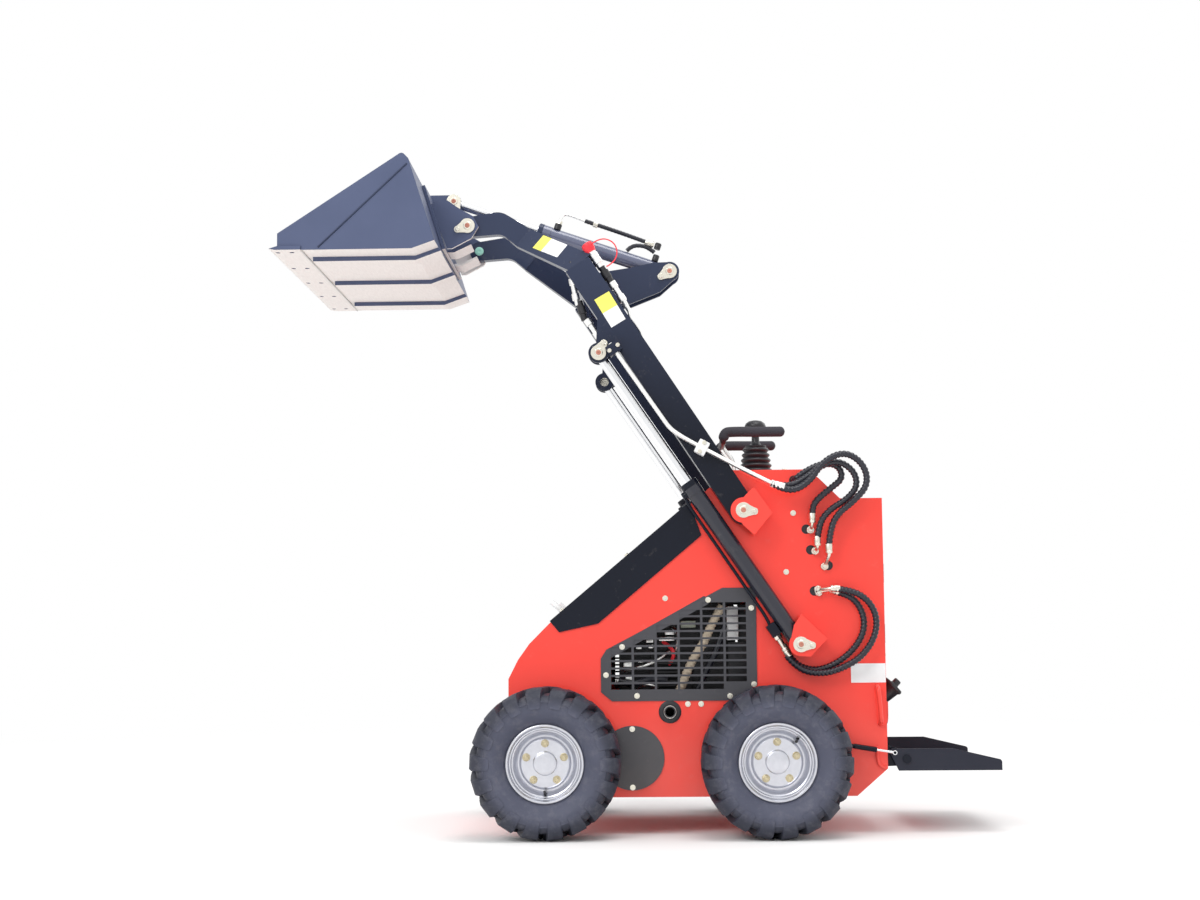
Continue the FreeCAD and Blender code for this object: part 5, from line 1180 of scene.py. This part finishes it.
def makeLamps():
    low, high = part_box("headlamps")
    slope, rise = Vector(lamp["slope"]), Vector(lamp["rise"])
    shapes = {"housing": bmesh.new(), "lens": bmesh.new()}
    for side in (1, -1):
        centre = Vector(((low.x + high.x) / 2, lamp["side"] * side, (low.z + high.z) / 2))
        for part, shape in shapes.items():
            back, front, share = lamp[part]
            half = lamp["half"] * share
            slab(shape, [centre + Vector((0, half * a, 0)) + rise * half * b + slope * back
                         for a, b in quarters], front - back, slope)
    soften(shapes["housing"], lamp["bevel"], 3, 0.5)
    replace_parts(settle("lampHousings", shapes["housing"], "white", "chassis"), "headlamps")
    settle("lampLenses", shapes["lens"], "chrome", "chassis")


makeLamps()

# Behind the grille: wrapped exhaust, pipes, fins, a pale tank and a white block that is painted light, for brightness
# seen through the grille, in front of the engine block; in millimetres
engine = {
    # finish, radius, ridge, control points
    "tubes": [
        ("wrap", 12.5, 2.2, [(-267, 250, 701), (-234, 258, 648), (-211, 260, 590), (-180, 260, 547),
            (-156, 260, 501), (-137, 258, 451), (-125, 245, 425)]),
        ("hose", 10, 1, [(60, 240, 470), (10, 250, 455), (-40, 248, 480), (-90, 235, 470)]),
        ("hose", 9, 1, [(-180, 235, 420), (-215, 245, 500), (-250, 248, 560), (-275, 235, 640)]),
        ("pipe", 6, 0, [(40, 215, 500), (-10, 240, 512), (-60, 240, 530), (-100, 215, 560)]),
        ("pipe", 4.5, 0, [(0, 215, 440), (-20, 255, 460), (-60, 258, 452), (-70, 215, 430)]),
        ("pipe", 5, 0, [(-100, 215, 640), (-125, 250, 630), (-130, 250, 590), (-115, 225, 550)]),
        ("cap", 6, 0, [(-80, 215, 590), (-110, 245, 572), (-115, 245, 540), (-100, 215, 520)]),
    ],
    # finish, lowest and highest corner
    "blocks": [
        # the white block stands for bright light seen through the grille: painted light
        ("white", (-318, 200, 594), (-282, 232, 700)),
        ("engine", (-352, 195, 420), (-285, 222, 588)),
        ("engine", (-356, 195, 585), (-321, 215, 706)),
        ("tank", (-184, 200, 634), (-137, 225, 656)),
        ("engine", (-170, 190, 430), (-40, 205, 560)),
        ("engine", (-120, 195, 632), (-60, 225, 690)),
    ],
    # small bright brackets: x and z of one corner, length and height
    "brackets": [(-116, 593, 49, 13), (-49, 588, 22, 11), (-12, 568, 18, 9), (-49, 570, 15, 12), (-116, 612, 30, 15),
                 (19, 512, 27, 15), (18, 464, 22, 20), (54, 464, 17, 9), (-17, 525, 16, 9)],
    "fins": 8,
    "softness": 0.0015,
}


def makeEngine():
    for finish, radius, ridge, points in engine["tubes"]:
        trim("engineTubes_" + finish, "chassis", finish).tube(radius / 1000, metres(points), ridge=ridge / 1000)
    rows = engine["blocks"] + [("pipe", (x, 200, z), (x + across, 222, z + up))
                               for x, z, across, up in engine["brackets"]]
    rows += [("engine", (-130, 205, 436 + 14 * k), (-60, 232, 442 + 14 * k)) for k in range(engine["fins"])]
    blocks = {}
    for finish, low, high in rows:
        (a, b, c), (d, e, f) = metres(low), metres(high)
        slab(blocks.setdefault(finish, bmesh.new()), [(a, b, c), (d, b, c), (d, b, f), (a, b, f)], e - b)
    for finish, shape in blocks.items():
        settle("engineParts_" + finish, soften(shape, engine["softness"], profile=0.5), finish, "chassis")


makeEngine()

# Fasteners on the panels, found by looking along a line: node, way, then starting points
panels = [
    ("hood", (0, 0, -1), [(x, y, 1.6) for x in (0.235, 0.030, -0.175) for y in (0.288, -0.288)]),
    ("body_wrap", (1, 0, 0), [(-1.0, y, z) for y in (0.262, -0.262) for z in (0.545, 0.705, 0.865)]),
    ("body_wrap", (0, 0, -1), [(x, y, 1.6) for x in (-0.250, -0.470) for y in (0.270, -0.270)]),
    ("body_wrap", (-1, 0, 0), [(1.0, y, 0.400) for y in (0.262, -0.262)]),
]
# A service door in the rear skin: half its width, its foot and top, its seam, two hinges and a latch
door = {
    "half": 0.240,
    "foot": 0.520,
    "top": 0.890,
    "line": 0.0014,
    "steps": 8,
    "hinges": (0.610, 0.800),
    # from the skin to the hinge's lower end
    "hingeFoot": (-0.002, 0, -0.030),
    "latch": (-0.210, 0.705),
    "sink": 0.0004,
}


def makePanels():
    for node, way, starts in panels:
        ground = surfaceOf(node)
        for start in starts:
            hit, normal = seenFrom(ground, start, way)
            if hit:
                for profile, steps in (("washer", 18), ("bolt", 6)):
                    trim("panelBolts", "chassis", "zinc").lathe(profile, hit - normal * door["sink"], normal, steps)
    ground = surfaceOf("body_wrap")
    half, foot, top = door["half"], door["foot"], door["top"]
    corners = [(half, foot), (half, top), (-half, top), (-half, foot), (half, foot)]
    for (y, z), (v, w) in zip(corners, corners[1:]):
        shares = [k / door["steps"] for k in range(door["steps"] + 1)]
        line = [seenFrom(ground, (-1.0, y + (v - y) * k, z + (w - z) * k), (1, 0, 0))[0] for k in shares]
        swept(trim("doorSeam", "chassis", "black").shape, line, door["line"], 8)
    for z in door["hinges"]:
        hit, normal = seenFrom(ground, (-1.0, half, z), (1, 0, 0))
        trim("doorHinges", "chassis", "dark").lathe("hinge", hit + Vector(door["hingeFoot"]), (0, 0, 1), 16)
    hit, normal = seenFrom(ground, (-1.0, *door["latch"]), (1, 0, 0))
    trim("doorLatch", "chassis", "plastic").lathe("latch", hit, normal, 32)


makePanels()
makePlate("windowStripLeft", "grey", 305.1, plates["strip"])
makePlate("windowStripRight", "grey", -305.1, plates["strip"])

# Pipe clamps on the left arm, in millimetres: piece, place, slope of the pipes in degrees, finish
clamp = {
    "half": (17, 22.1),
    "level": (368, 406.5),
    "softness": 0.003,
    "bolt": 15.5,
    "sink": 1.2,
    # the second clamp wears the dark arm paint as painted shade where the pipe starts
    "rows": [("pipeClamp1", (-207, 1190), 28.5, "white"), ("shadedPipeClamp", (64, 1504), 55.6, "black")],
}


def makeClamps():
    (along, across), (low, high) = clamp["half"], clamp["level"]
    pieces = []
    for name, spot, slope, finish in clamp["rows"]:
        corners = [onCylinder(spot, slope, along * a, across * b, low) for a, b in quarters]
        shape = soften(slab(bmesh.new(), corners, (high - low) / 1000), clamp["softness"])
        pieces.append(settle(name, shape, finish, "lift_arm"))
        for b in (-clamp["bolt"], clamp["bolt"]):
            trim("clampBolts", "lift_arm", "zinc").lathe(
                "bolt", onCylinder(spot, slope, 0, b, high - clamp["sink"]), steps=6)
    for piece in pieces:
        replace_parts(piece, "pipe_clamps")


makeClamps()

# Bucket in millimetres: a raised line along each side plate's crease, darker than the plate as painted shade; weld
# behind the cutting edge, a pan between the hitch's cheeks
seam = {
    "side": [(694, 540.2, 2066), (780, 540.2, 1985), (880, 540.2, 1890.5), (968, 540.2, 1807.5)],
    "sideRadius": 0.0028,
    "edge": [(1019.5, 535, 1798.5), (1019.5, 200, 1798.5), (1019.5, -200, 1798.5), (1019.5, -535, 1798.5)],
    "edgeRadius": 0.0026,
    "pan": [(532, 1889), (588, 1863), (612, 1863), (612, 1870), (590, 1870), (535, 1895)],
    "panReach": (55, 168),
    "cap": (0.538, 0.1755, 1.937),
}


def makeBucketTrim():
    # the crease lines wear the darker black paint as painted shade
    for name, finish, which, both in (("bucketCreaseShade", "black", "side", True), ("edgeWeld", "steel", "edge", False)):
        trim(name, "bucket", finish).tube(seam[which + "Radius"], metres(seam[which]), both, gap=0.02, steps=8)
    near, far = seam["panReach"]
    shape = bmesh.new()
    for side in (1, -1):
        slab(shape, metres([(x, near * side, z) for x, z in seam["pan"]]), (far - near) / 1000, (0, side, 0))
    settle("hitchPan", shape, "hitch", "bucket")
    trim("hitchCaps", "lift_arm", "mint").lathe("pinCap", seam["cap"], (0, -1, 0), 28, True)


makeBucketTrim()

made = {name: settle(name, part.shape, part.finish, part.body) for name, part in trims.items()}
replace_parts(made["fillerNeck"], "filler_neck")
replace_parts(made["rearHandle"], "rear_handle")
print("trim made:", len(made))

# Studio: a pale floor that fades into white, three soft lights and an even sky
studio = {
    "sky": 0.98,
    "floor": 0.88,
    "tones": ((0.97, 0.965, 0.96), (1.02, 1.015, 1.01)),
    "floorRadius": 60.0,
    "floorSides": 64,
    "fadeStart": 2.4,
    "fadeEnd": 7.0,
    "aim": (0, 0, 0.9),
    # place, size, watts
    "lamps": [((4.5, 7.0, 6.5), 4.0, 300.0), ((-1.0, 1.5, 7.0), 3.0, 140.0), ((-6.0, -5.0, 5.0), 5.0, 100.0)],
}


def seenDirectly(network):
    # 1 for rays that show the background: camera, mirror and glass rays
    rays = [network.node("ShaderNodeLightPath", output="Is %s Ray" % kind)
            for kind in ("Camera", "Glossy", "Transmission")]
    return network.maths("MAXIMUM", rays[0], network.maths("MAXIMUM", rays[1], rays[2]))


def makeSky():
    world = bpy.data.worlds.new("studio")
    world.use_nodes = True
    bpy.context.scene.world = world
    network = Network(world.node_tree)
    world.node_tree.nodes.clear()
    sky = network.node("ShaderNodeBackground", {
        "Color": (1, 1, 1, 1), "Strength": seenDirectly(network) * (1 - studio["sky"]) + studio["sky"]})
    network.feed(world.node_tree.nodes.new("ShaderNodeOutputWorld").inputs["Surface"], sky)


def makeFloor():
    ground = Finish("groundSheet", Roughness=0.9, Specular_IOR_Level=0.1)
    reach = ground.node("ShaderNodeVectorMath", {0: ground.place}, 1, operation="LENGTH")
    tones = [tuple(studio["floor"] * part for part in parts) + (1,) for parts in studio["tones"]]
    ground.put(Base_Color=ground.blendColours(ground.noise(1.2, 4), *tones))
    white = ground.node("ShaderNodeEmission", {"Color": (1, 1, 1, 1), "Strength": 1.0})
    far = ground.between(reach, studio["fadeStart"], studio["fadeEnd"]) * seenDirectly(ground)
    mixed = ground.node("ShaderNodeMixShader", {0: far, 1: Signal(ground, ground.shader.outputs[0]), 2: white})
    ground.feed(ground.end.inputs["Surface"], mixed)
    shape = bmesh.new()
    radius, sides = studio["floorRadius"], studio["floorSides"]
    turns = [2 * math.pi * k / sides for k in range(sides)]
    shape.faces.new([shape.verts.new((radius * math.cos(turn), radius * math.sin(turn), 0)) for turn in turns])
    mesh = bpy.data.meshes.new("floor")
    shape.to_mesh(mesh)
    shape.free()
    mesh.materials.append(ground.material)
    shown("floor", mesh)


def makeLights():
    for number, (spot, size, watts) in enumerate(studio["lamps"]):
        light = bpy.data.lights.new("softbox%d" % number, "AREA")
        light.size = size
        light.energy = watts
        aim = Vector(studio["aim"]) - Vector(spot)
        shown("softbox%d" % number, light).matrix_world = (
            Matrix.Translation(spot) @ aim.to_track_quat("-Z", "Y").to_matrix().to_4x4())


makeSky()
makeFloor()
makeLights()
bpy.context.scene.view_settings.view_transform = "Standard"
print("studio lit")
